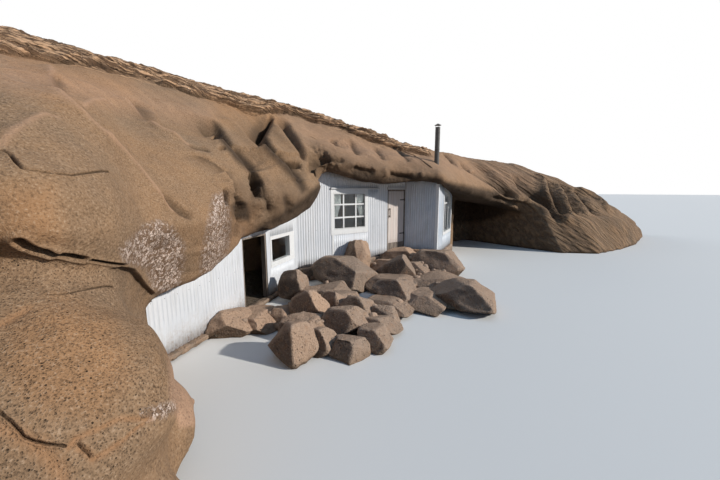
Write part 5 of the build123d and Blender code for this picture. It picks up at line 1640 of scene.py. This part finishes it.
def fold_points(hung, folds, depth):
    count = folds * 12
    shares = [i / count for i in range(count + 1)]
    return [(hung * t, depth * math.sin(2 * math.pi * folds * t)) for t in shares]


def build_curtains(material):
    """Two curtains gathered at the window's head and swept outwards at the foot."""
    box_low, box_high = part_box("window_curtains")
    middle = (box_low.y + box_high.y) / 2
    width, height = CURTAIN_CUT
    for name, outer, side in (("curtain_left", box_low.x, 1), ("curtain_right", box_high.x, -1)):
        verts = []
        for k in range(CURTAIN_ROWS + 1):
            fall = k / CURTAIN_ROWS
            sweep = max(0.0, (fall - CURTAIN_SWEEP_FROM) / (1 - CURTAIN_SWEEP_FROM))
            hung = CURTAIN_HUNG * (1 - (1 - CURTAIN_FOOT_SHARE) * math.sin(sweep * math.pi / 2))
            row = folded_row(width, hung, CURTAIN_FOLDS)
            for number, (s, depth) in enumerate(row):
                sway = 0.001 * math.sin(5 * fall + number * 0.13)
                verts.append((outer + side * s, middle + depth + sway, box_high.z - height * fall))
        across = len(row)
        firsts = [k * across + i for k in range(CURTAIN_ROWS) for i in range(across - 1)]
        mesh = bpy.data.meshes.new(name)
        mesh.from_pydata(verts, [], [(a, a + 1, a + 1 + across, a + across) for a in firsts])
        piece = place_piece(name, mesh, material, ["window_curtains"])


# Door and small parts

def build_door(material):
    """The leaf's planks, each with eased edges and its own tone."""
    low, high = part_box("house_door")
    scale = (high.x - low.x) / sum(DOOR_PLANKS)
    random = np.random.default_rng(3)
    made = bmesh.new()
    tone = made.verts.layers.float.new("tone")
    x = low.x
    half = PLANK_GAP / 2
    for width in DOOR_PLANKS:
        right = x + width * scale
        corner_low = Vector((x + half, low.y + random.uniform(0, 0.002), low.z))
        corner_high = Vector((right - half, high.y, high.z - random.uniform(0, 0.004)))
        plank = bmesh.ops.create_cube(made, size=1)["verts"]
        for vert in plank:
            for axis in range(3):
                vert.co[axis] = corner_high[axis] if vert.co[axis] > 0 else corner_low[axis]
        ease(made, {edge for vert in plank for edge in vert.link_edges}, PLANK_EDGE)
        shade = 0.05 + 0.95 * random.uniform(0, 1)
        for vert in made.verts:
            if vert[tone] == 0.0:
                vert[tone] = shade
        x = right
    bmesh.ops.subdivide_edges(made, edges=[e for e in made.edges if e.calc_length() > 0.3], cuts=12)
    mesh = mesh_of(made, "door_leaf")
    place_piece("door_leaf", mesh, material, ["house_door"], body="house_door", smooth=False)


def ease(made, edges, width):
    bmesh.ops.bevel(made, geom=list(edges), offset=width, segments=2, affect="EDGES", profile=0.6)


def build_white_boards(material):
    """The boards over the window and the door, with eased edges."""
    for node in ("window_drip_board", "door_header"):
        made = bmesh.new()
        made.from_mesh(NODES[node].data)
        folded = [edge for edge in made.edges if len(edge.link_faces) == 2]
        ease(made, [edge for edge in folded if edge.calc_face_angle() > 0.5], BOARD_EDGE)
        mesh = mesh_of(made, node + "_eased")
        place_piece(node + "_eased", mesh, material, [node], smooth=False)


def build_pull_plate(material):
    """A forged plate behind the door's pull, with a leaf at each end."""
    low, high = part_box("door_handle")
    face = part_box("house_door")[0].y
    middle = (low.x + high.x) / 2
    outline = []
    for i in range(PLATE_STEPS + 1):
        t = i / PLATE_STEPS
        near_end = min(t, 1 - t)
        leaf = 0.3 + 0.7 * math.exp(-((near_end - 0.13) / 0.07) ** 2)
        width = PLATE_WIDTH * leaf * min(1.0, near_end / 0.05 + 0.15)
        outline.append((width / 2, low.z + (high.z - low.z) * t))
    made = bmesh.new()
    for depth in (0.0, -PLATE_THICK):
        left = [made.verts.new((middle - w, face + depth, z)) for w, z in outline]
        right = [made.verts.new((middle + w, face + depth, z)) for w, z in outline]
        for i in range(PLATE_STEPS):
            made.faces.new((left[i], right[i], right[i + 1], left[i + 1]))
    bmesh.ops.bridge_loops(made, edges=[edge for edge in made.edges if edge.is_boundary])
    mesh = mesh_of(made, "pull_plate")
    place_piece("pull_plate", mesh, material, body="house_door", smooth=False)


def build_pipe_joints(material):
    """Folded seams round the stove pipe where its lengths meet."""
    low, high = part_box("stove_pipe")
    centre = (low + high) / 2
    radius = (high.x - low.x) / 2
    made = bmesh.new()
    for z in PIPE_SEAMS:
        rings = []
        for i in range(SEAM_SIDES):
            across, aside = direction(360 * i / SEAM_SIDES)
            places = [(radius + out, z + up) for out, up in SEAM_PROFILE]
            corners = [(centre.x + r * across, centre.y + r * aside, h) for r, h in places]
            rings.append([made.verts.new(corner) for corner in corners])
        for near, far in zip(rings, rings[1:] + rings[:1]):
            for k in range(4):
                made.faces.new((near[k], far[k], far[(k + 1) % 4], near[(k + 1) % 4]))
    place_piece("pipe_joints", mesh_of(made, "pipe_joints"), material)


def dress_nodes(finishes):
    for slot, material in finishes.items():
        for entry in frame["record"]["subparts"]:
            if entry["material_slot"] == slot:
                data = NODES[entry["node"]].data
                data.materials.clear()
                data.materials.append(material)


FINISHES = {
    "rock": rock_material(),
    "boulder_stone": boulder_material("boulder_stone"),
    "footing_stone": boulder_material("footing_stone"),
    "earth": earth_material(),
    "floor_boards": wood_material("floor_boards", FLOOR_WOOD, grain=(0.08, 1, 1), across=(0, 1, 0),
                                  width=0.14),
    "wall_sheet": sheet_material("wall_sheet", SHEET_WHITE, SHEET_CHALK, 0.5),
    "curtain_cloth": cloth_material(),
    "wall_boards": wood_material("wall_boards", SAWN_WOOD, grain=(0.08, 0.08, 1), across=(0, 0, 1)),
    "white_wood": painted_wood_material("white_wood", WHITE_PAINT),
    "weathered_wood": wood_material("weathered_wood", GREY_WOOD),
    "door_planks": door_material(),
    "window_glass": glass_material(),
    "iron": iron_material(),
    "pipe_steel": pipe_material(),
}

bpy.context.scene.view_settings.view_transform = "Standard"
make_camera()
make_light()
make_floor()
dress_nodes(FINISHES)
build_rock(FINISHES["rock"])
# The wing's sheets get a copy of the sheet material made darker and bluer as painted shade
build_cladding(FINISHES["wall_sheet"], sheet_material("wing_sheet_shaded", WING_SHADED_WHITE, WING_SHADED_CHALK, 0.8))
nail_heads(FINISHES["iron"])
build_boulders(FINISHES["boulder_stone"], FINISHES["earth"])
build_footings(FINISHES["footing_stone"])
build_curtains(FINISHES["curtain_cloth"])
build_door(FINISHES["door_planks"])
build_white_boards(painted_wood_material("worn_white_wood", OLD_WHITE_PAINT))
build_pull_plate(FINISHES["iron"])
build_pipe_joints(FINISHES["pipe_steel"])
